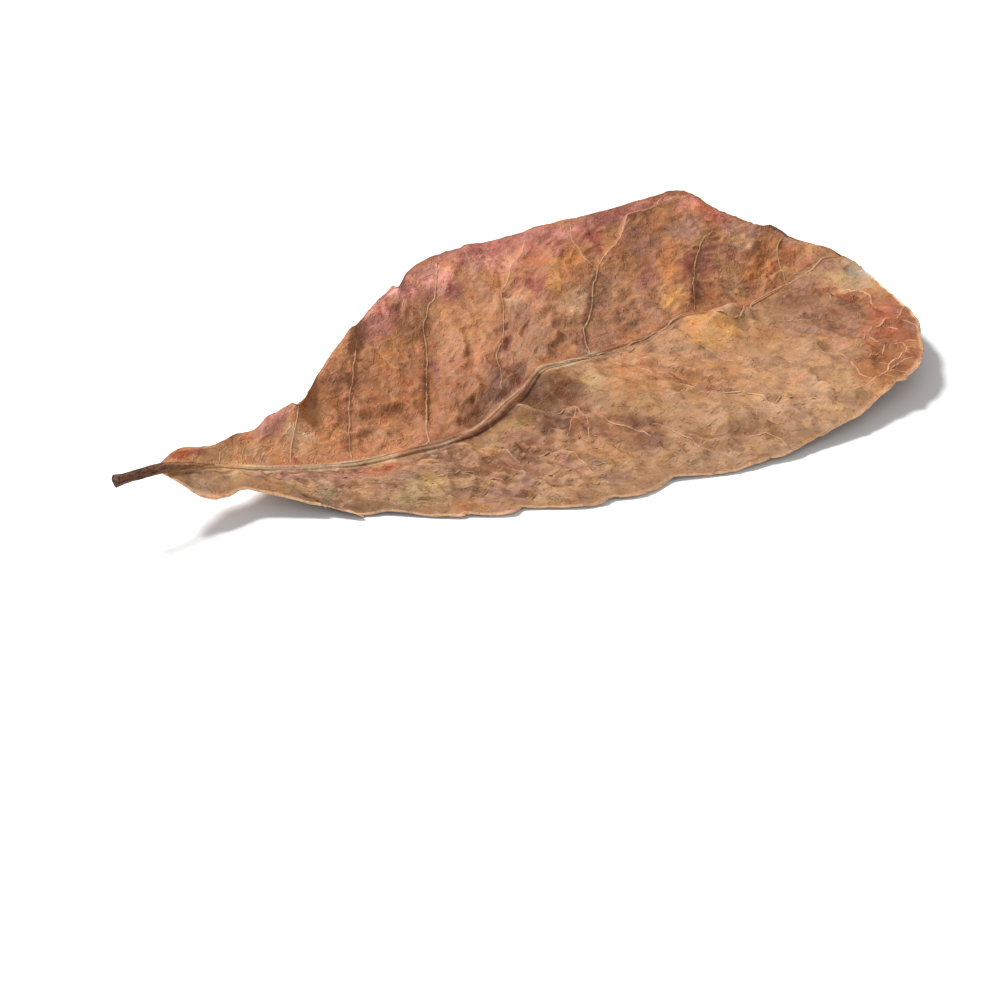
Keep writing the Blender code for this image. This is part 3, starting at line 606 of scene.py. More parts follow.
# Noise in the blade's material: shift, scale, detail, roughness and distortion, the two values between which
# it is spread, and what it is there
PATCHES = {
    "clouds": ((0, 0, 0), 0.21, 4, 0.55, 0.3, 0.30, 0.70, 0.88, 1.14),
    "mottles": ((8, 3, 2), 0.42, 4, 0.55, 0.4, 0.36, 0.64, 0.86, 1.13),
    "fine": ((0, 0, 0), 1.3, 3, 0.55, 0, 0.32, 0.68, 0.95, 1.05),
    "yellower": ((5, 71, 3), 0.17, 4, 0.6, 0.5, 0.46, 0.58, 0, 0.9),
    "pinker": ((37, 11, 5), 0.24, 4, 0.6, 0.5, 0.52, 0.62, 0, 0.8),
    "rose": ((0, 0, 0), 0.42, 6, 0.68, 0.4, 0.53, 0.60, 0, 1),
    "rose areas": ((3, 1, 9), 0.08, 2, 0.55, 0, 0.40, 0.60, 0.35, 1),
    "speckles": ((4, 6, 8), 0.95, 5, 0.7, 0, 0.54, 0.60, 0, 1),
    "speckles areas": ((9, 2, 6), 0.16, 3, 0.6, 0, 0.46, 0.58, 0.15, 1),
    "specks": ((3, 9, 1), 1.05, 3, 0.55, 0, 0.62, 0.68, 0, 0.75),
    "flecks": ((13, 2, 8), 1.5, 3, 0.5, 0, 0.63, 0.70, 0, 0.7),
    "creased areas": ((2, 8, 4), 0.3, 3, 0.5, 0, 0.46, 0.58, 0, 1),
    "crested areas": ((2, 8, 4), 0.3, 3, 0.5, 0, 0.54, 0.42, 0, 1),
}
FACTORS = {  # by which they multiply the colour; the creases are darkened as painted shade and the crests lightened as painted highlight
    "yellower": (1.05, 1.01, 0.84, 1), "pinker": (1.04, 0.94, 1.0, 1), "rose": (0.82, 0.62, 0.62, 1),
    "speckles": (0.76, 0.56, 0.54, 1), "specks": (0.58, 0.45, 0.42, 1), "flecks": (1.30, 1.30, 1.22, 1),
    "creases": (0.62, 0.52, 0.48, 1), "crests": (1.22, 1.24, 1.24, 1), "net": (1.12, 1.10, 1.10, 1),
}
# How strong they are on the near and on the far half
SHARES = {"mottles": (0.4, 0.55), "rose": (0.2, 0.85), "speckles": (0.25, 0.9)}
CREASE_SHARE, CREST_SHARE, NET_SHARE = 0.55, 0.6, 0.35
CREASE_NOISE = (3.0, 0.6)  # detail and roughness
CREASES, CRESTS = (0.42, 0.035), (0.36, 0.04)  # scale and half width
CREST_SHIFT = (4, 3, 1)
NET_SCALE = 0.85
NET_WAVES = {"Scale": 0.5, "Detail": 2.0}
NET_THREAD, NET_FOOT = 0.14, 0.2  # half widths of the net's pale threads and of their relief
SMOOTH_GRAIN = 0.35  # how strong the grain is on the blade's smooth base
STREAKING = (0.45, 1.0, 0.0)  # draws the creases out along the grain
# Relief, in shares of the depth that follows
NET_RELIEF, MOTTLE_RELIEF, FINE_RELIEF, CREASE_RELIEF = 0.03, 0.6, 0.1, 0.25
BLADE_RELIEF, VEIN_RELIEF, BARK_RELIEF = 0.0004, 0.0002, 0.0006  # depths in metres
BUMP_STRENGTH = 0.8
SHINE = 0.3
MIDDLE = (0.3, 0.7)  # between these the noise is spread to the roughnesses
BLADE_ROUGHNESS, VEIN_ROUGHNESS, BARK_ROUGHNESS = (0.5, 0.75), (0.55, 0.75), (0.6, 0.85)
VEIN_NOISE = (1.6, 4, 0.6)  # scale, detail and roughness
VEIN_LIGHTNESS = (0.74, 1.16)
BARK_STREAKING = (0.3, 1.3, 1.3)  # draws the streaks out along the stalk
BARK_STREAKS, BARK_LUMPS = (1.4, 5, 0.65), (1.5, 4, 0.6)
BARK_CONTRAST = (0.38, 0.62)
BARK_PITTED = (0.52, 0.66, 0.0, 0.8)
BARK_DARK, BARK_LIGHT, BARK_PITS = (66, 38, 25), (116, 74, 50), (40, 23, 16)
JOIN_DARK, JOIN_LIGHT = (126, 82, 52), (172, 122, 82)
FLOOR_COLOUR = (246, 246, 246)
FLOOR_ROUGHNESS = 0.9

# Camera, lights and floor, in metres
CAMERA_PLACE = (-0.2407, -0.3485, 0.2638)
CAMERA_AIM = (-0.00074, -0.0230, 0.0)
LENS = 85
SENSOR = 36
PHOTO_PIXELS = 1000
CLIP_START = 0.01
LIGHTS = (  # name, place, size and power
    ("key", (-0.36, 0.62, 1.05), 0.35, 23.0),
    ("fill", (-0.6, -0.7, 0.8), 1.0, 2.5),
)
WORLD_STRENGTH = 0.40
FLOOR_SIZE = 6.0


def unit(vector):
    return vector / np.linalg.norm(vector, axis=-1, keepdims=True)


CAMERA_LOOK = unit(np.array(CAMERA_AIM) - np.array(CAMERA_PLACE))
CAMERA_RIGHT = unit(np.cross(CAMERA_LOOK, [0, 0, 1.0]))
CAMERA_UP = np.cross(CAMERA_RIGHT, CAMERA_LOOK)
CAMERA_AHEAD = (-CAMERA_RIGHT[1], CAMERA_RIGHT[0])  # away from the camera, on the floor


def in_photo(x, y, z):
    """Pixels of the photograph where the camera sees places given in millimetres."""
    offset = np.stack([x, y, z], axis=-1) - np.array(CAMERA_PLACE) / MM
    scale = LENS / SENSOR * PHOTO_PIXELS / (offset @ CAMERA_LOOK)
    return PHOTO_PIXELS / 2 + scale * (offset @ CAMERA_RIGHT), PHOTO_PIXELS / 2 - scale * (offset @ CAMERA_UP)


def eased(share):
    """The share from 0 to 1, starting and ending softly."""
    return share * share * (3 - 2 * share)


def ramp(value, start, span):
    """Rises from 0 at the start to 1 after the span."""
    return np.clip((value - start) / span, 0, 1)


def bell(distance, half_width):
    return np.exp(-((distance / half_width) ** 2))


def through(knots, place):
    """A smooth curve through the given knots, read at each place."""
    table = np.array(knots, float)
    places, values = table[:, 0], table[:, 1:]
    slopes = np.gradient(values, places, axis=0)
    k = np.clip(np.searchsorted(places, place, side="right") - 1, 0, len(places) - 2)
    width = (places[k + 1] - places[k])[..., None]
    u = (place - places[k])[..., None] / width
    start = (1 + 2 * u) * (1 - u) ** 2 * values[k] + u * (1 - u) ** 2 * width * slopes[k]
    end = u * u * (3 - 2 * u) * values[k + 1] - u * u * (1 - u) * width * slopes[k + 1]
    return start + end


def midway(root, side, far_places, near_places):
    """0 at each place on the blade's own side, rising to 1 midway to the next."""
    far = np.interp(root, far_places, range(len(far_places)))
    near = np.interp(root, near_places, range(len(near_places)))
    return np.abs(np.sin(np.pi * np.where(side > 0, far, near)))


def lobes(root, side):
    """How far the margin swells out between its notches."""
    return midway(root, side, FAR_NOTCHES, NEAR_NOTCHES) * through(LOBE, root)[..., 0]


def bulge_height(x, y):
    """The swellings and hollows together, each a smooth bell."""
    height = np.zeros_like(x)
    for middle_x, middle_y, top, reach_x, reach_y in BULGES:
        height += top * np.exp(-(((x - middle_x) / reach_x) ** 2) - ((y - middle_y) / reach_y) ** 2)
    return height


def ends(root, side):
    """The midrib's point and the margin's point of the vein line that leaves the midrib at root."""
    midrib = np.concatenate([root[..., None], through(MIDRIB, root)], axis=-1)
    margin = np.where(side[..., None] > 0, through(FAR_MARGIN, root), through(NEAR_MARGIN, root))
    return midrib, margin


def noise(x, y, seed):
    """Smooth noise from -1 to 1 that changes over about one unit."""
    lattice = np.random.default_rng(seed).uniform(-1, 1, (NOISE_CELLS, NOISE_CELLS))
    i, j = np.floor(x).astype(int), np.floor(y).astype(int)
    u, v = eased(x - i), eased(y - j)
    i, j, i1, j1 = i % NOISE_CELLS, j % NOISE_CELLS, (i + 1) % NOISE_CELLS, (j + 1) % NOISE_CELLS
    low = lattice[i, j] * (1 - u) + lattice[i1, j] * u
    high = lattice[i, j1] * (1 - u) + lattice[i1, j1] * u
    return low * (1 - v) + high * v


def rough(x, y, seed, layers=3):
    """Noise with finer noise laid on it."""
    total = sum(noise(x * 2**k, y * 2**k, seed + k) / 2**k for k in range(layers))
    return total / (2 - 2 ** (1 - layers))


def ridged(x, y, seed, steepness):
    """Noise with sharp ridges of height 1 and rounded hollows."""
    return 1 - steepness * np.abs(noise(x, y, seed))


def creased(x, y, seed):
    """Ridged noise from about -1 to 1, with finer ridges laid on it."""
    return 0.7 * ridged(x, y, seed, 2.6) + 0.3 * ridged(2.1 * x, 2.1 * y, seed + 1, 2.6)


def laid(kind, x, y, form):
    """Noise of one of the kinds above, by its height, its size along x and y, its seed and its layers."""
    height, size_x, size_y, *rest = form
    return height * kind(x / size_x, y / size_y, *rest)


def cell_walls(x, y, seed):
    """Distance to the walls between irregular cells about one unit wide: 0 on a wall."""
    jitter = np.random.default_rng(seed).uniform(0.05, 0.95, (NOISE_CELLS, NOISE_CELLS, 2))
    i, j = np.floor(x).astype(int), np.floor(y).astype(int)
    first = np.full(x.shape, 9.0)
    second = first.copy()
    for step_i in (-1, 0, 1):
        for step_j in (-1, 0, 1):
            a, b = i + step_i, j + step_j
            middle = jitter[a % NOISE_CELLS, b % NOISE_CELLS]
            distance = np.hypot(a + middle[..., 0] - x, b + middle[..., 1] - y)
            second = np.minimum(second, np.maximum(first, distance))
            first = np.minimum(first, distance)
    return second - first


def line_field(x, y, line, reach):
    """Numbers of the places near a line, and for each its distance, the same signed, and its place as a share.

    The signed distance is positive on the left of the line, seen from above. Beyond the line's ends it is
    taken from the line run on, so that what is stepped across the line ends softly.
    """
    line = np.array(line, float)
    low, high = line.min(axis=0) - reach, line.max(axis=0) + reach
    x, y = x.ravel(), y.ravel()
    numbers = np.flatnonzero((x > low[0]) & (x < high[0]) & (y > low[1]) & (y < high[1]))
    x, y = x[numbers], y[numbers]
    lengths = np.hypot(*np.diff(line, axis=0).T)
    before = np.concatenate([[0], np.cumsum(lengths)])
    nearest = np.full(x.shape, np.inf)
    signed, place = np.zeros_like(nearest), np.zeros_like(nearest)
    for k, length in enumerate(lengths):
        ahead = (line[k + 1] - line[k]) / length
        offset_x, offset_y = x - line[k, 0], y - line[k, 1]
        along = offset_x * ahead[0] + offset_y * ahead[1]
        beside = ahead[0] * offset_y - ahead[1] * offset_x
        at = np.clip(along, 0, length)
        distance = np.hypot(along - at, beside)
        left = np.where(beside < 0, -distance, distance)
        if k == 0:
            left = np.where(along < 0, beside, left)
        if k == len(lengths) - 1:
            left = np.where(along > length, beside, left)
        closer = distance < nearest
        nearest = np.where(closer, distance, nearest)
        signed = np.where(closer, left, signed)
        place = np.where(closer, (before[k] + at) / before[-1], place)
    return numbers, nearest, signed, place


def smoothed(line, step, angular=False):
    """A rounded or angular line through the given points, with a point about every step."""
    line = np.array(line, float)
    length = np.concatenate([[0], np.cumsum(np.hypot(*np.diff(line, axis=0).T))])
    count = max(3, int(round(length[-1] / step)) + 1)
    places = np.linspace(0, length[-1], count)
    if angular:
        return np.column_stack([np.interp(places, length, line[:, k]) for k in (0, 1)])
    return through(np.column_stack([length, line]), places)


def cusp_reach(root, side):
    """How far the margin stands out at its cusps and in at its tears."""
    out = np.zeros(np.broadcast(root, side).shape)
    for cusp_side, place, before, after, height in CUSP_PLACES:
        gap = root - place
        share = np.clip(1 - np.where(gap < 0, -gap / before, gap / after), 0, 1)
        out = out + np.where(side == cusp_side, height * eased(share), 0)
    return out


def plan(root, across):
    """X and Y of the blade."""
    side, share = np.sign(across), np.abs(across)
    midrib, margin = ends(root, side)
    chord = margin - midrib
    span = np.linalg.norm(chord[..., :2], axis=-1)
    ragged = laid(rough, root, side * RAGGED_SHIFT, RAGGED_MARGIN)
    ragged = ragged + laid(noise, root, side * TOOTHED_SHIFT, TOOTHED_MARGIN)
    drawn_in = np.where(side > 0, through(FAR_INSET, root)[..., 0], through(NEAR_INSET, root)[..., 0])
    out = share + (lobes(root, side) - LOBE_MIDDLE - drawn_in) * share**4 / np.maximum(span, LOBE_SPAN)
    out = out + (ragged + cusp_reach(root, side)) * share**12 / np.maximum(span, LOBE_SPAN)
    # a long vein leaves at its heading and then bends to its end on the margin, a short one runs straight
    turn = np.minimum(1, span / STRAIGHT_SPAN)
    bend = 2 * share * (1 - share)
    halfway_x = chord[..., 0] / 2 * (1 - turn) + span / 2 * math.cos(VEIN_HEADING) * turn
    halfway_y = chord[..., 1] / 2 * (1 - turn) + span / 2 * math.sin(VEIN_HEADING) * turn * side
    x = midrib[..., 0] + chord[..., 0] * out**2 + bend * halfway_x
    y = midrib[..., 1] + chord[..., 1] * out**2 + bend * halfway_y
    far_move = through(FAR_END, np.maximum(root, FAR_END[0][0]))
    near_move = through(NEAR_END, np.maximum(root, NEAR_END[0][0]))
    far = ((1 + across) / 2)[..., None]
    right, ahead = np.moveaxis(far_move * far + near_move * (1 - far), -1, 0)
    x = x + right * CAMERA_RIGHT[0] + ahead * CAMERA_AHEAD[0]
    y = y + right * CAMERA_RIGHT[1] + ahead * CAMERA_AHEAD[1]
    return x, y


class Sheet:
    """The blade at places given by root and across."""

    def __init__(self, root, across):
        self.root, self.across = root, across
        self.side, self.share = np.sign(across), np.abs(across)
        self.midrib, self.margin = ends(root, self.side)
        self.chord = self.margin - self.midrib
        self.span = np.linalg.norm(self.chord[..., :2], axis=-1)
        self.distance = self.share * self.span
        section = through(MIDRIB_SECTION, root)
        self.half_width, self.rib_height = section[..., 0], section[..., 1]
        self.x, self.y = plan(root, across)
        self.pitch = self.row_pitch()
        self.base = self.underside()
        self.far = np.clip(0.5 + across * self.span / HALVES_SPAN, 0, 1)
        self.smoothness = ramp(-root, -BASE_START, BASE_SPAN) * self.far  # the blade's base is smoother
        self.u, self.v = in_photo(self.x, self.y, self.base + THICKNESS)
        self.rightwards = self.x * CAMERA_RIGHT[0] + self.y * CAMERA_RIGHT[1]
        self.forwards = self.y * CAMERA_RIGHT[0] - self.x * CAMERA_RIGHT[1]

    def row_pitch(self):
        """Millimetres between vein lines whose roots are 1 mm apart."""
        step = 0.25
        x0, y0 = plan(self.root - step, self.across)
        x1, y1 = plan(self.root + step, self.across)
        inner_x, inner_y = plan(self.root, self.side * np.maximum(self.share - 0.01, 0))
        ax, ay = self.x - inner_x, self.y - inner_y
        length = np.maximum(np.hypot(ax, ay), 1e-6)
        return np.abs((x1 - x0) * ay - (y1 - y0) * ax) / length / (2 * step)

    def underside(self):
        """Height of the blade's underside."""
        beside = (self.distance - self.half_width) / np.maximum(self.span - self.half_width, 1)
        beside = np.clip(beside, 0, 1)
        puff = midway(self.root, self.side, FAR_VEINS, NEAR_VEINS) ** 2
        z = self.midrib[..., 2] + self.chord[..., 2] * beside**CURL
        z += PLEAT_HEIGHT * puff * np.sin(np.pi * beside) * np.minimum(1, self.span / PLEAT_SPAN)
        z -= LOBE_DROOP * lobes(self.root, self.side) * self.share**8
        return z + bulge_height(self.x, self.y)

    def vein_distance(self):
        """Distance to the nearest secondary vein, which wavers a little."""
        nearest = np.full(self.root.shape, np.inf)
        for side, veins in ((1, FAR_VEINS), (-1, NEAR_VEINS)):
            for number, vein in enumerate(veins):
                row = np.full_like(self.root, number * 5.3)
                waver = VEIN_WAVER * rough(self.distance / 7, row, 21 + side)
                gap = (self.root - vein) * self.pitch + waver * np.minimum(1, self.distance / 6)
                nearest = np.where(self.side == side, np.minimum(nearest, np.abs(gap)), nearest)
        return nearest


def find_cusps():
    """Finds the roots of the cusps: where the plain margin passes nearest to each pixel."""
    root = np.linspace(MIDRIB[0][0], MIDRIB[-1][0], 3000)
    found = []
    for side, u, v, before, after, height in CUSPS:
        margin = Sheet(root, np.full_like(root, float(side)))
        found.append((side, root[np.argmin(np.hypot(margin.u - u, margin.v - v))], before, after, height))
    CUSP_PLACES.extend(found)


def on_blade(sheet, line):
    """X and Y on the blade of a line of pixels, each the mean of the nearest points of the sheet."""
    places = []
    for u, v in line:
        distance = np.hypot(sheet.u - u, sheet.v - v).ravel()
        near = np.argsort(distance)[:5]
        x, y = sheet.x.ravel()[near], sheet.y.ravel()[near]
        weight = (np.hypot(x - x[0], y - y[0]) < 1.5) / (distance[near] + 0.05)
        places.append((np.sum(x * weight) / np.sum(weight), np.sum(y * weight) / np.sum(weight)))
    return np.array(places)


def dropped(height, signed, nearest, softness, reach):
    """A step of the given height across a line, which fades out at the given reach."""
    return height * np.tanh(signed / softness) * bell(nearest, reach)


def crumple(sheet, veins, folds):
    """The relief that both faces share."""
    x, y, far = sheet.x, sheet.y, sheet.far
    free = ramp(sheet.distance, sheet.half_width, MIDRIB_CLEARANCE)
    calm = np.clip((1 - sheet.share) * sheet.span / CALM_SPAN, CALM_LEAST, 1)
    busy = np.clip(BUSY_MIDDLE + laid(noise, x, y, BUSY), BUSY_LEAST, 1)
    warp_x, warp_y = x + laid(rough, x, y, WARP_X), y + laid(rough, x, y, WARP_Y)
    z_far = laid(rough, x, y, FAR_DENTS) + laid(creased, warp_x, warp_y, FAR_CREASES) * busy
    z_far += laid(creased, warp_x, warp_y, FAR_PUCKERS)
    slid_x = sheet.rightwards + laid(noise, x, y, SLIDE_X)
    slid_y = sheet.forwards + SLANT * sheet.rightwards + laid(rough, x, y, SLIDE_Y)
    z_near = laid(rough, x, y, NEAR_DENTS) + laid(creased, slid_x, slid_y, NEAR_WRINKLES) * busy
    z_near += laid(creased, slid_x, slid_y, NEAR_RIPPLES)
    z = (z_far * far + z_near * (1 - far)) * calm * (1 - SMOOTH_CALM * sheet.smoothness)
    # wrinkles square to the margin, most of all at the tip, that fade at the very rim
    rim = ramp(sheet.share, RIM_PUCKER_START, 1 - RIM_PUCKER_START) ** 1.5 * np.clip((x - 45) / 30, 0.35, 1)
    rim = rim * (1 - 0.75 * ramp(sheet.share, 0.93, 0.07)) * np.minimum(1, sheet.span / PLEAT_SPAN)
    wander = sheet.root / RIM_PUCKER_SIZE + 0.5 * noise(x / 3, y / 3, 59)
    z += RIM_PUCKER_HEIGHT * (1 - 0.6 * far) * rim * ridged(wander, sheet.share * 3, 57, 2)
    flat = z.ravel()
    for _, height, drop_start, drop_end, line in veins:
        numbers, nearest, signed, place = line_field(x, y, line, VEIN_REACH)
        drop = VEIN_DROP * (drop_start + (drop_end - drop_start) * place)
        flat[numbers] -= dropped(drop, signed, nearest, DROP_SOFTNESS, DROP_REACH)
        flat[numbers] += VEIN_SWELL * height * np.exp(-nearest / VEIN_SWELL_REACH)
    for height, half_width, drop, line in folds:
        numbers, nearest, signed, place = line_field(x, y, line, VEIN_REACH)
        ending = np.clip(np.minimum(place, 1 - place) / FOLD_ENDS, 0.2, 1)
        flat[numbers] += FOLD_HEIGHT * height * np.exp(-nearest / (FOLD_REACH * half_width)) * ending
        flat[numbers] -= dropped(FOLD_DROP * drop, signed, nearest, FOLD_SOFTNESS, FOLD_DROP_REACH) * ending
    return flat.reshape(z.shape) * free + LIFT * np.exp(-np.maximum(sheet.base, 0) / LIFT_FADE)


def ribs(sheet):
    """Height and paleness of what stands proud of the upper side: midrib, near veins and the fine net."""
    x, y = sheet.x, sheet.y
    gap = sheet.vein_distance()
    profile = np.clip(1 - (sheet.distance / sheet.half_width) ** 2, 0, 1) ** RIB_ROUNDNESS
    winding = sheet.side * sheet.distance / STREAK_SIZE + 0.6 * noise(sheet.root / 5, x * 0, 63)
    streak = ridged(winding, sheet.root / STREAK_LENGTH, 61, 2.4)
    midrib = through(FINE_RIB, sheet.root)[..., 0] * sheet.rib_height * profile * (1 + STREAK_HEIGHT * streak)
    fade = np.clip(1.1 - sheet.share, 0, 1) * np.minimum(1, sheet.distance / 3)
    height = NEAR_VEIN_HEIGHT - (NEAR_VEIN_HEIGHT - FAR_VEIN_HEIGHT) * sheet.far
    vein = height * fade * bell(gap, VEIN_HALF_WIDTH)
    across = sheet.distance / MESH_ACROSS
    walls = cell_walls(sheet.root / MESH_ALONG + 0.3 * noise(x / 4, y / 4, 71), across, 73)
    net = MESH_HEIGHT * bell(walls, 0.08) * np.clip(sheet.distance / 4 - 0.5, 0, 1)
    pale_vein = 0.35 * (1 - sheet.far) * fade * bell(gap, 0.4)
    pale_net = 0.22 * bell(walls, 0.05) * np.minimum(1, fade * 3)
    return np.maximum(midrib, vein) + net, np.maximum(pale_vein, pale_net)


def to_linear(colour):
    value = np.array(colour, float) / 255
    return np.where(value <= 0.04045, value / 12.92, ((value + 0.055) / 1.055) ** 2.4)


def stained(u, v, x, y, far):
    """Colour of the blade: stains and strokes laid over one another, each with a wandering outline."""
    wander_u = sum(laid(rough, x, y, form) for form in WANDER_U)
    wander_v = sum(laid(rough, x, y, form) for form in WANDER_V)
    far = far[..., None]
    colour = to_linear(NEAR_COLOUR) * (1 - far) + to_linear(FAR_COLOUR) * far
    frays = [
        rough(x / FRAY_SIZE + FRAY_SHIFT * k, y / FRAY_SIZE, FRAY_SEED + 4 * k) for k in range(FRAYS)
    ]
    for number, (name, middle_u, middle_v, reach_u, reach_v, turn, strength) in enumerate(STAINS):
        c, s = math.cos(math.radians(turn)), math.sin(math.radians(turn))
        loose = min(1, (reach_u + reach_v) / 30)
        off_u, off_v = u + loose * wander_u - middle_u, v + loose * wander_v - middle_v
        along = (off_u * c + off_v * s) / reach_u
        over = (off_v * c - off_u * s) / reach_v
        smooth = np.exp(-((along**2 + over**2) ** 1.5))
        edge = smooth + FRAY_DEPTH * frays[number % FRAYS] * smooth * (1 - smooth)
        ragged = 0.35 if name in SOFT_SHADE_AND_STAINS else 0.7
        weight = (strength * ((1 - ragged) * smooth + ragged * eased(ramp(edge, 0.2, 0.5))))[..., None]
        colour = colour * (1 - weight) + to_linear(PALETTE[name]) * weight
    flat = colour.reshape(-1, 3)
    patchy = 0.9 + laid(rough, x, y, PATCHY).ravel()
    # the pits are drawn dark: painted shade in them
    pits = tuple(("umber", half_width, strength, line) for _, _, _, half_width, strength, line in PITS)
    for name, half_width, strength, line in STROKES + pits:
        loose = min(1, half_width / 16)
        soft = 0.5 + 0.4 * half_width
        wandering = u + wander_u * loose, v + wander_v * loose
        numbers, nearest, _, _ = line_field(*wandering, smoothed(line, STROKE_STEP), half_width + 3 * soft)
        weight = strength / (1 + np.exp(4 * (nearest - half_width) / soft))
        weight = np.clip(weight * patchy[numbers], 0, 1)[..., None]
        flat[numbers] = flat[numbers] * (1 - weight) + to_linear(PALETTE[name]) * weight
    return flat.reshape(colour.shape)


def vein_painted_shade(sheet, veins):
    """Painted shade beside the veins on the side that lies lower and, below 0, painted light on the side that
    lies higher.
    """
    shade_and_light = np.zeros(sheet.x.size)
    for _, _, drop_start, drop_end, line in veins:
        numbers, nearest, signed, place = line_field(sheet.x, sheet.y, line, VEIN_SHADE_REACH)
        drop = drop_start + (drop_end - drop_start) * place
        low = -signed * np.sign(drop)
        strength = np.minimum(1, 1.6 * np.abs(drop)) * np.clip(np.minimum(place, 1 - place) / 0.1, 0, 1)
        shade_and_light[numbers] += strength * np.where(low > 0, np.exp(-nearest / 1.1), -0.35 * np.exp(-nearest / 1.3))
    return np.clip(shade_and_light, -0.5, 1).reshape(sheet.x.shape)


def blade_colour(sheet, pale, veins):
    """Colour of the blade with its pale veins and painted shade and light beside them, painted shade by the
    near margin and painted light on the base, its pale near margin brightened as painted light, and its dark
    far margin.
    """
    cream = to_linear(PALETTE["cream"])
    colour = stained(sheet.u, sheet.v, sheet.x, sheet.y, sheet.far)
    # painted shade and light beside the veins
    colour = colour * (1 - VEIN_SHADE_STRENGTH * vein_painted_shade(sheet, veins)[..., None] * VEIN_SHADE_COLOUR)
    # painted shade darkens the lower part of the near margin
    shade = (1 - sheet.far) * ramp(sheet.share, 0.35, 0.5) * ramp(-sheet.root, -50, 25)
    # painted light brightens the smooth base
    colour = colour * (1 - NEAR_SHADE * shade[..., None]) * (1 + BASE_PAINTED_LIGHT * sheet.smoothness[..., None])
    colour = colour * (1 - pale[..., None]) + cream * pale[..., None]
    towards_tip = ramp(sheet.root, TIP_START, TIP_SPAN)
    width = RIM_WIDTH + TIP_RIM_WIDTH * towards_tip
    rim = np.clip(1.3 - (1 - sheet.share) * sheet.span / width, 0, 1)[..., None]
    # painted light: the pale near rim is brightened past cream against its own shade
    rim_painted_light = (RIM_PAINTED_LIGHT + TIP_PAINTED_LIGHT * towards_tip)[..., None] * cream
    near = (1 - sheet.far)[..., None]
    colour = colour * (1 - RIM_SHARE * rim * near) + rim_painted_light * RIM_SHARE * rim * near
    return colour * (1 - FAR_RIM_SHADE * rim * (1 - near))


def row_roots():
    """Roots of the rows, closer together where the margins fan out."""
    fine = np.linspace(MIDRIB[0][0], MIDRIB[-1][0], 2000)
    stretch = np.ones_like(fine)
    for margin in (FAR_MARGIN, NEAR_MARGIN):
        edge = through(margin, fine)[:, :2]
        stretch += np.linalg.norm(np.gradient(edge, fine, axis=0), axis=-1)
    total = np.concatenate([[0], np.cumsum((stretch[1:] + stretch[:-1]) / 2)])
    return np.interp(np.linspace(0, total[-1], ROWS), total, fine)


def column_places(root, count):
    """Across, for each row and column: closer together on the midrib."""
    side_columns = np.arange(count + 1) / count
    root = root[:, None]
    halves = []
    for side in (-1, 1):
        midrib, margin = ends(root, np.full_like(root, float(side)))
        span = np.linalg.norm((margin - midrib)[..., :2], axis=-1)
        rib = np.minimum(1.15 * through(MIDRIB_SECTION, root)[..., 0], 0.4 * span) / span
        on_rib = np.clip(side_columns / RIB_SHARE, 0, 1) * rib
        beyond = ramp(side_columns, RIB_SHARE, 1 - RIB_SHARE) * (1 - rib)
        halves.append(side * (on_rib + beyond))
    return np.concatenate([halves[0][:, :0:-1], halves[1]], axis=1)


def grid_faces(number):
    """Four-sided faces between the points of a grid with the given numbers."""
    corners = [number[:-1, :-1], number[1:, :-1], number[1:, 1:], number[:-1, 1:]]
    return np.stack(corners, axis=-1).reshape(-1, 4)


def tube_faces(number):
    """Four-sided faces round a tube whose rings of points have the given numbers."""
    after = np.roll(number, -1, axis=1)
    return np.stack([number[:-1], after[:-1], after[1:], number[1:]], axis=-1).reshape(-1, 4).tolist()


def tube_points(centres, sideways, upwards, out, up):
    """Points of a tube's rings, each so far out sideways and so far up from the ring's centre."""
    points = centres[:, None] + sideways[:, None] * out[..., None] + upwards[:, None] * up[..., None]
    return points.reshape(-1, 3)


def join_rims(upper, lower, flip):
    """Five-sided faces between the rims of the two grids: the underside has half as many points."""
    faces = []
    for k in range(len(lower) - 1):
        face = [lower[k], lower[k + 1], upper[2 * k + 2], upper[2 * k + 1], upper[2 * k]]
        faces.append([int(number) for number in (face[::-1] if flip else face)])
    return faces


def make_mesh(name, points, faces):
    mesh = bpy.data.meshes.new(name)
    mesh.from_pydata(points * MM, [], faces)
    mesh.validate()
    mesh.shade_smooth()
    made = bpy.data.objects.new(name, mesh)
    bpy.context.scene.collection.objects.link(made)
    return made


def add_attribute(mesh, name, kind, values):
    field = {"FLOAT_COLOR": "color", "FLOAT_VECTOR": "vector", "FLOAT": "value"}[kind]
    if kind == "FLOAT_COLOR":
        values = np.concatenate([values, np.ones((len(values), 1))], axis=1)
    attribute = mesh.attributes.new(name, kind, "POINT")
    attribute.data.foreach_set(field, np.ascontiguousarray(values, dtype=np.float32).ravel())


def grain_of(sheet):
    """Directions of the fine streaks: the photograph's right on the near half, slanting on the far one."""
    c, s = math.cos(GRAIN_TURN), math.sin(GRAIN_TURN)
    along = np.where(sheet.side > 0, sheet.x * c + sheet.y * s, sheet.rightwards)
    over = np.where(sheet.side > 0, sheet.y * c - sheet.x * s, sheet.forwards)
    return np.stack([along, over, sheet.far], axis=-1).reshape(-1, 3)


def lines_on(sheet):
    """The groups of veins and the folds, with their lines in X and Y."""
    groups = []
    for group in (FAR_LINES, NEAR_LINES, WRINKLE_LINES, MIDRIB_LINES, TIP_LINES):
        angular = group is TIP_LINES
        groups.append([(*vein[:4], smoothed(on_blade(sheet, vein[4]), LINE_STEP, angular)) for vein in group])
    folds = FOLDS + tuple((*pit[:3], pit[-1]) for pit in PITS)
    return groups, [(*fold[:3], smoothed(on_blade(sheet, fold[3]), LINE_STEP)) for fold in folds]


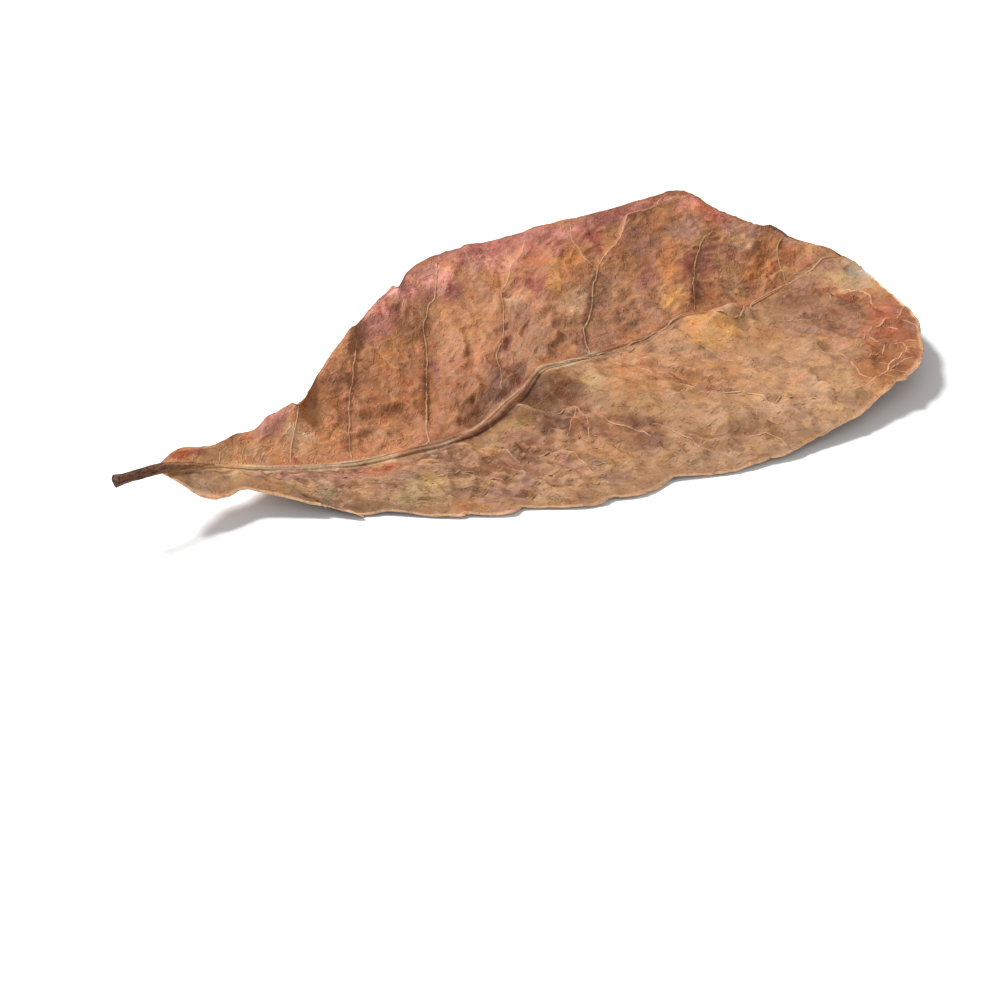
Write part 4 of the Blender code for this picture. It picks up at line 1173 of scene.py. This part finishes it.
def upper_face(sheet, veins, folds):
    """Height and colour of the upper face."""
    height, pale = ribs(sheet)
    thin = ramp((1 - sheet.share) * sheet.span, 0, THIN_SPAN)
    thickness = MARGIN_THICKNESS + (THICKNESS - MARGIN_THICKNESS) * thin
    relief = crumple(sheet, veins, folds)
    z = np.maximum(sheet.base, 0) + np.maximum(thickness + relief, THINNEST) + height
    return z, blade_colour(sheet, pale, veins)


def lower_face(sheet, veins, folds):
    """Height and colour of the underside, which has no ribs and is duller."""
    z = np.maximum(np.maximum(sheet.base, 0) + crumple(sheet, veins, folds), 0)
    colour = blade_colour(sheet, np.zeros_like(sheet.x), veins)
    grey = colour.mean(axis=-1, keepdims=True)
    return z, colour * (1 - UNDER_DULLNESS) + UNDER_LEVEL * grey * UNDER_DULLNESS


def blade():
    """The blade, a fine upper face and a coarser underside joined all round, and its veins."""
    roots = row_roots()
    upper = Sheet(*np.broadcast_arrays(roots[:, None], column_places(roots, TOP_COLUMNS)))
    lower = Sheet(*np.broadcast_arrays(roots[::2, None], column_places(roots[::2], UNDER_COLUMNS)))
    groups, folds = lines_on(upper)
    veins = [vein for group in groups for vein in group]
    parts = []
    for sheet, face in ((upper, upper_face), (lower, lower_face)):
        z, colour = face(sheet, veins, folds)
        points = np.stack([sheet.x, sheet.y, z], axis=-1).reshape(-1, 3)
        parts.append((points, TINT_LEVEL * colour.reshape(-1, 3), grain_of(sheet), sheet.smoothness.ravel()))
    points, tint, grain, smooth = (np.concatenate(pair) for pair in zip(*parts))
    top = np.arange(upper.x.size).reshape(upper.x.shape)
    under = top.size + np.arange(lower.x.size).reshape(lower.x.shape)
    upper_faces = grid_faces(top)
    faces = upper_faces.tolist() + grid_faces(under)[:, ::-1].tolist()
    faces += join_rims(top[:, 0], under[:, 0], False) + join_rims(top[:, -1], under[:, -1], True)
    faces += join_rims(top[0], under[0], True) + join_rims(top[-1], under[-1], False)
    made = make_mesh("leaf_blade", points, faces)
    add_attribute(made.data, "tint", "FLOAT_COLOR", tint)
    add_attribute(made.data, "grain", "FLOAT_VECTOR", grain)
    add_attribute(made.data, "smooth", "FLOAT", smooth)
    threads = Threads(points[: top.size], upper_faces, tint)
    for group, paleness in zip(groups, VEIN_PALENESS):
        for half_width, height, _, _, line in group:
            threads.lay(line, half_width, height, paleness)
    for line in ladder_lines():
        threads.lay(line, *LADDER_VEIN)
    return made, threads.mesh()


def ladder_lines():
    """Fine veins that cross from one secondary vein to the next, in X and Y."""
    random = np.random.default_rng(LADDER_SEED)
    lines = []
    for side, veins in ((1, FAR_VEINS), (-1, NEAR_VEINS)):
        for first, last in zip(veins, veins[1:]):
            middle = np.array([(first + last) / 2])
            midrib, margin = ends(middle, np.array([float(side)]))
            span = np.linalg.norm((margin - midrib)[0, :2])
            slack = (last - first) * LADDER_SLACK
            place = random.uniform(*LADDER_GAPS)
            while place < span - LADDER_STOP:
                start, stop = np.sort(random.uniform(0, 1, 2))
                start, stop = first + slack * start, last - slack * (1 - stop)
                root = np.linspace(start, stop, LADDER_POINTS)
                waver = laid(noise, root, np.full_like(root, place), LADDER_WAVER)
                waver = waver + LADDER_SLANT * (root - start)
                share = np.clip((place + waver) / span, *LADDER_SHARES)
                lines.append(np.stack(plan(root, side * share), axis=-1))
                place += random.uniform(*LADDER_GAPS)
    return lines


def softened(values, reach=3):
    """A mean over each value and its neighbours on both sides."""
    padded = np.concatenate([values[:1]] * reach + [values] + [values[-1:]] * reach)
    count = 2 * reach + 1
    return sum(padded[k : k + len(values)] for k in range(count)) / count


class Threads:
    """Thin tapering veins, laid half sunk on the blade's upper face."""

    def __init__(self, points, faces, tint):
        self.tree = BVHTree.FromPolygons(points.tolist(), faces.tolist())
        self.blade_faces, self.blade_tint = faces, tint
        self.points, self.faces, self.tint = [], [], []
        self.count = 0

    def wavering(self, line):
        """Points of a vein's line, a step apart, which waver to its sides."""
        path = smoothed(line, THREAD_STEP)
        length = np.arange(len(path)) * THREAD_STEP
        ahead = unit(np.gradient(path, axis=0))
        waver = laid(rough, length, np.full_like(length, 0.37 * path[0, 0]), THREAD_WAVER)
        return path + np.column_stack([-ahead[:, 1], ahead[:, 0]]) * waver[:, None]

    def landed(self, path):
        """Where the path lies on the blade, the blade's normals there and its colours."""
        spots, normals, tints = [], [], []
        for x, y in path:
            hit, normal, face, _ = self.tree.ray_cast(Vector((x, y, RAY_HEIGHT)), Vector((0, 0, -1)))
            if hit is not None:
                spots.append(hit)
                normals.append(normal)
                tints.append(self.blade_tint[self.blade_faces[face][0]])
        return np.array(spots), np.array(normals), np.array(tints)

    def lay(self, line, half_width, height, paleness):
        spots, normals, tints = self.landed(self.wavering(line))
        if len(spots) < THREAD_LEAST:
            return
        normals = unit(softened(normals))
        sideways = unit(np.cross(normals, unit(np.gradient(spots, axis=0))))
        length = np.arange(len(spots)) * THREAD_STEP
        taper = np.minimum(length, length[::-1]) / (THREAD_TAPER * half_width)
        swell = np.sqrt(np.clip(taper, THREAD_END, 1))
        swell = swell * (1 + laid(rough, length, np.full_like(length, spots[0, 0]), THREAD_SWELL))
        angle = np.arange(THREAD_SIDES) / THREAD_SIDES * 2 * np.pi
        top = THREAD_FLATNESS * height * swell[:, None] + THREAD_SINK
        rise = np.where(np.sin(angle) > 0, top, THREAD_BELOW) * np.sin(angle)
        out = half_width * swell[:, None] * np.cos(angle)
        self.points.append(tube_points(spots, sideways, normals, out, rise - THREAD_SINK))
        number = self.count + np.arange(out.size).reshape(out.shape)
        self.faces += tube_faces(number)
        self.faces += [number[0][::-1].tolist(), number[-1].tolist()]
        patchy = laid(rough, length, np.full_like(length, spots[0, 1]), THREAD_PATCHES)
        share = paleness * np.clip(THREAD_PALE + patchy, 0, 1)[:, None]
        tint = tints * (1 - share) + TINT_LEVEL * to_linear(PALETTE["ivory"]) * share
        self.tint.append(np.repeat(tint, THREAD_SIDES, axis=0))
        self.count += number.size

    def mesh(self):
        made = make_mesh("leaf_veins", np.concatenate(self.points), self.faces)
        add_attribute(made.data, "tint", "FLOAT_COLOR", np.concatenate(self.tint))
        return made


def stalk():
    """The stalk: a shrivelled tube that sinks into the midrib, with a rough cut end."""
    place = np.linspace(STALK[0][0], STALK[-1][0], STALK_RINGS)
    y, z, radius = through(STALK, place).T
    sink = through(STALK_SINK, place)[:, 0]
    centre = np.stack([place, y, z - sink], axis=-1)
    forward = unit(np.gradient(centre, axis=0))
    sideways = unit(np.cross([0, 0, 1.0], forward))
    upwards = np.cross(forward, sideways)
    angle = np.linspace(0, 2 * np.pi, STALK_SIDES, endpoint=False)[None]
    around, along = np.broadcast_arrays(angle * NOISE_CELLS / (2 * np.pi), place[:, None])
    wrinkled = STALK_SHRINKAGE + laid(rough, around, along, STALK_FOLDS)
    wrinkled = wrinkled + laid(rough, around, along, STALK_BARK)
    narrow = np.clip(1 - sink[:, None] * STALK_NARROWING, STALK_NARROWEST, 1)
    radius = radius[:, None] * wrinkled * narrow
    out, up = radius * np.cos(angle), radius * np.sin(angle) * STALK_FLATNESS
    points = tube_points(centre, sideways, upwards, out, up)
    number = np.arange(len(points)).reshape(out.shape)
    after = np.roll(number, -1, axis=1)
    first, last = len(points), len(points) + 1
    points = np.concatenate([points, [centre[0] + forward[0] * STALK_DENT], [centre[-1]]])
    faces = tube_faces(number)
    faces += [[first, after[0, k], number[0, k]] for k in range(STALK_SIDES)]
    faces += [[last, number[-1, k], after[-1, k]] for k in range(STALK_SIDES)]
    made = make_mesh("leaf_stalk", points, faces)
    joined = ramp(points[:, 0], STALK_JOIN[0], STALK_JOIN[1] - STALK_JOIN[0])
    add_attribute(made.data, "joined", "FLOAT", joined)
    return made


class Nodes:
    """Short ways to add shader nodes to a material."""

    def __init__(self, name):
        self.material = bpy.data.materials.new(name)
        self.material.use_nodes = True
        self.tree = self.material.node_tree
        self.shader = self.tree.nodes["Principled BSDF"]

    def add(self, kind, inputs=None, **settings):
        made = self.tree.nodes.new(kind)
        for key, value in settings.items():
            setattr(made, key, value)
        for key, value in (inputs or {}).items():
            self.put(made.inputs[key], value)
        return made

    def put(self, socket, value):
        if isinstance(value, bpy.types.NodeSocket):
            self.tree.links.new(value, socket)
        else:
            socket.default_value = value

    def attribute(self, name, output):
        return self.add("ShaderNodeAttribute", attribute_name=name).outputs[output]

    def spot(self):
        """Place on the piece, in millimetres."""
        return self.vector("MULTIPLY", self.add("ShaderNodeTexCoord").outputs["Object"], (1 / MM,) * 3)

    def vector(self, operation, first, second):
        return self.add("ShaderNodeVectorMath", {0: first, 1: second}, operation=operation).outputs["Vector"]

    def math(self, operation, first, second):
        return self.add("ShaderNodeMath", {0: first, 1: second}, operation=operation).outputs["Value"]

    def product(self, first, *others):
        for other in others:
            first = self.math("MULTIPLY", first, other)
        return first

    def noise(self, vector, scale, detail, roughness, distortion=0.0):
        inputs = {"Vector": vector, "Scale": scale, "Detail": detail, "Roughness": roughness}
        return self.add("ShaderNodeTexNoise", {**inputs, "Distortion": distortion}).outputs["Fac"]

    def spread(self, value, low, high, out_low=0.0, out_high=1.0):
        inputs = {"Value": value, "From Min": low, "From Max": high, "To Min": out_low, "To Max": out_high}
        return self.add("ShaderNodeMapRange", inputs, interpolation_type="SMOOTHSTEP").outputs["Result"]

    def patch(self, spot, shift, scale, detail, roughness, distortion, *span):
        """Noise of the given form, plain and spread."""
        plain = self.noise(self.vector("ADD", spot, shift), scale, detail, roughness, distortion)
        return plain, self.spread(plain, *span)

    def creases(self, vector, scale, half_width):
        """Thin winding lines: 1 on a line and 0 beside it."""
        away = self.math("SUBTRACT", self.noise(vector, scale, *CREASE_NOISE), 0.5)
        return self.spread(self.math("ABSOLUTE", away, 0.0), 0.0, half_width, 1.0, 0.0)

    def net(self, vector, scale):
        """Distance to the threads of a fine net, in shares of its meshes."""
        wavy = self.add("ShaderNodeTexNoise", {"Vector": vector, **NET_WAVES}).outputs["Color"]
        inputs = {"Vector": self.vector("ADD", vector, wavy), "Scale": scale}
        return self.add("ShaderNodeTexVoronoi", inputs, feature="DISTANCE_TO_EDGE").outputs["Distance"]

    def mix(self, share, first, second, blend="MIX"):
        made = self.add("ShaderNodeMix", data_type="RGBA", blend_type=blend)
        self.put(made.inputs[0], share)
        self.put(made.inputs[6], first)
        self.put(made.inputs[7], second)
        return made.outputs[2]

    def finish(self, colour, roughness, height, depth):
        """Sets the surface: colour, roughness, and a fine relief as deep as given, in metres."""
        self.put(self.shader.inputs["Base Color"], colour)
        self.put(self.shader.inputs["Roughness"], roughness)
        self.shader.inputs["Specular IOR Level"].default_value = SHINE
        bump = self.add("ShaderNodeBump", {"Height": height, "Distance": depth, "Strength": BUMP_STRENGTH})
        self.put(self.shader.inputs["Normal"], bump.outputs["Normal"])
        return self.material


def linear(colour):
    return (*(float(v) for v in to_linear(colour)), 1.0)


def blade_material():
    n = Nodes("dried_leaf")
    spot = n.spot()
    grain = n.attribute("grain", "Vector")
    far = n.add("ShaderNodeSeparateXYZ", {"Vector": grain}).outputs["Z"]
    share = {name: n.spread(far, 0, 1, *values) for name, values in SHARES.items()}
    grainy = n.spread(n.attribute("smooth", "Fac"), 0, 1, 1.0, SMOOTH_GRAIN)
    plain, patch = {}, {}
    for name, form in PATCHES.items():
        plain[name], patch[name] = n.patch(spot, *form)
    streaky = n.vector("MULTIPLY", grain, STREAKING)
    creases = n.product(n.creases(streaky, *CREASES), patch["creased areas"])
    crests = n.product(n.creases(n.vector("ADD", streaky, CREST_SHIFT), *CRESTS), patch["crested areas"])
    net = n.net(spot, NET_SCALE)
    speckled = n.product(grainy, patch["speckles"], patch["speckles areas"], share["speckles"])
    # each layer multiplies the colour: how strongly, and by what
    layers = (
        (1.0, patch["clouds"]),
        (n.product(grainy, share["mottles"]), patch["mottles"]),
        (patch["yellower"], FACTORS["yellower"]),
        (patch["pinker"], FACTORS["pinker"]),
        (n.product(patch["rose"], share["rose"], patch["rose areas"]), FACTORS["rose"]),
        (speckled, FACTORS["speckles"]),
        (grainy, patch["fine"]),
        (n.product(grainy, patch["specks"]), FACTORS["specks"]),
        (patch["flecks"], FACTORS["flecks"]),
        # painted shade in the fine creases and painted highlight on the fine crests
        (n.product(creases, CREASE_SHARE), FACTORS["creases"]),
        (n.product(crests, CREST_SHARE), FACTORS["crests"]),
        (n.spread(net, 0.0, NET_THREAD, NET_SHARE, 0.0), FACTORS["net"]),
    )
    colour = n.attribute("tint", "Color")
    for strength, factor in layers:
        colour = n.mix(strength, colour, factor, "MULTIPLY")
    marks = (
        (plain["mottles"], MOTTLE_RELIEF), (plain["fine"], FINE_RELIEF),
        (crests, CREASE_RELIEF), (creases, -CREASE_RELIEF),
    )
    height = n.spread(net, 0.0, NET_FOOT, NET_RELIEF, 0.0)
    for value, relief in marks:
        height = n.math("ADD", height, n.product(value, relief))
    return n.finish(colour, n.spread(plain["fine"], *MIDDLE, *BLADE_ROUGHNESS), height, BLADE_RELIEF)


def vein_material():
    n = Nodes("dried_vein")
    fine = n.noise(n.spot(), *VEIN_NOISE)
    colour = n.mix(1.0, n.attribute("tint", "Color"), n.spread(fine, *MIDDLE, *VEIN_LIGHTNESS), "MULTIPLY")
    return n.finish(colour, n.spread(fine, *MIDDLE, *VEIN_ROUGHNESS), fine, VEIN_RELIEF)


def stalk_material():
    n = Nodes("stalk_bark")
    spot = n.spot()
    streaks = n.noise(n.vector("MULTIPLY", spot, BARK_STREAKING), *BARK_STREAKS)
    lumps = n.noise(spot, *BARK_LUMPS)
    light = n.spread(streaks, *BARK_CONTRAST)
    bark = n.mix(light, linear(BARK_DARK), linear(BARK_LIGHT))
    bark = n.mix(n.spread(lumps, *BARK_PITTED), bark, linear(BARK_PITS))
    brown = n.mix(light, linear(JOIN_DARK), linear(JOIN_LIGHT))
    colour = n.mix(n.attribute("joined", "Fac"), bark, brown)
    height = n.math("ADD", streaks, lumps)
    return n.finish(colour, n.spread(lumps, *MIDDLE, *BARK_ROUGHNESS), height, BARK_RELIEF)


def floor_material():
    n = Nodes("pale_floor")
    n.shader.inputs["Base Color"].default_value = linear(FLOOR_COLOUR)
    n.shader.inputs["Roughness"].default_value = FLOOR_ROUGHNESS
    n.shader.inputs["Specular IOR Level"].default_value = 0.0
    return n.material


def aimed(made, place, aim):
    """Puts a camera or a light at a place, aimed at another, into the scene."""
    made.location = place
    made.rotation_euler = (Vector(aim) - made.location).to_track_quat("-Z", "Y").to_euler()
    bpy.context.scene.collection.objects.link(made)


def studio():
    """Camera, lights and floor."""
    camera = bpy.data.objects.new("camera", bpy.data.cameras.new("camera"))
    camera.data.lens = LENS
    camera.data.sensor_width = SENSOR
    camera.data.clip_start = CLIP_START
    aimed(camera, CAMERA_PLACE, CAMERA_AIM)
    bpy.context.scene.camera = camera
    for name, place, size, power in LIGHTS:
        light = bpy.data.objects.new(name, bpy.data.lights.new(name, "AREA"))
        light.data.shape = "DISK"
        light.data.size = size
        light.data.energy = power
        aimed(light, place, (0, 0, 0))
    world = bpy.data.worlds.new("studio")
    world.use_nodes = True
    background = world.node_tree.nodes["Background"]
    background.inputs["Color"].default_value = (1, 1, 1, 1)
    background.inputs["Strength"].default_value = WORLD_STRENGTH
    bpy.context.scene.world = world
    half = FLOOR_SIZE / 2
    corners = [(-half, -half, 0), (half, -half, 0), (half, half, 0), (-half, half, 0)]
    mesh = bpy.data.meshes.new("floor")
    mesh.from_pydata(corners, [], [(0, 1, 2, 3)])
    floor = bpy.data.objects.new("floor", mesh)
    floor.data.materials.append(floor_material())
    bpy.context.scene.collection.objects.link(floor)
    bpy.context.scene.view_settings.view_transform = "Standard"


def main():
    studio()
    find_cusps()
    leaf, veins = blade()
    pieces = ((leaf, blade_material()), (veins, vein_material()), (stalk(), stalk_material()))
    for made, material in pieces:
        made.data.materials.append(material)
        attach(made, "root")
        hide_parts("leaf")


main()
bpy.context.view_layer.update()
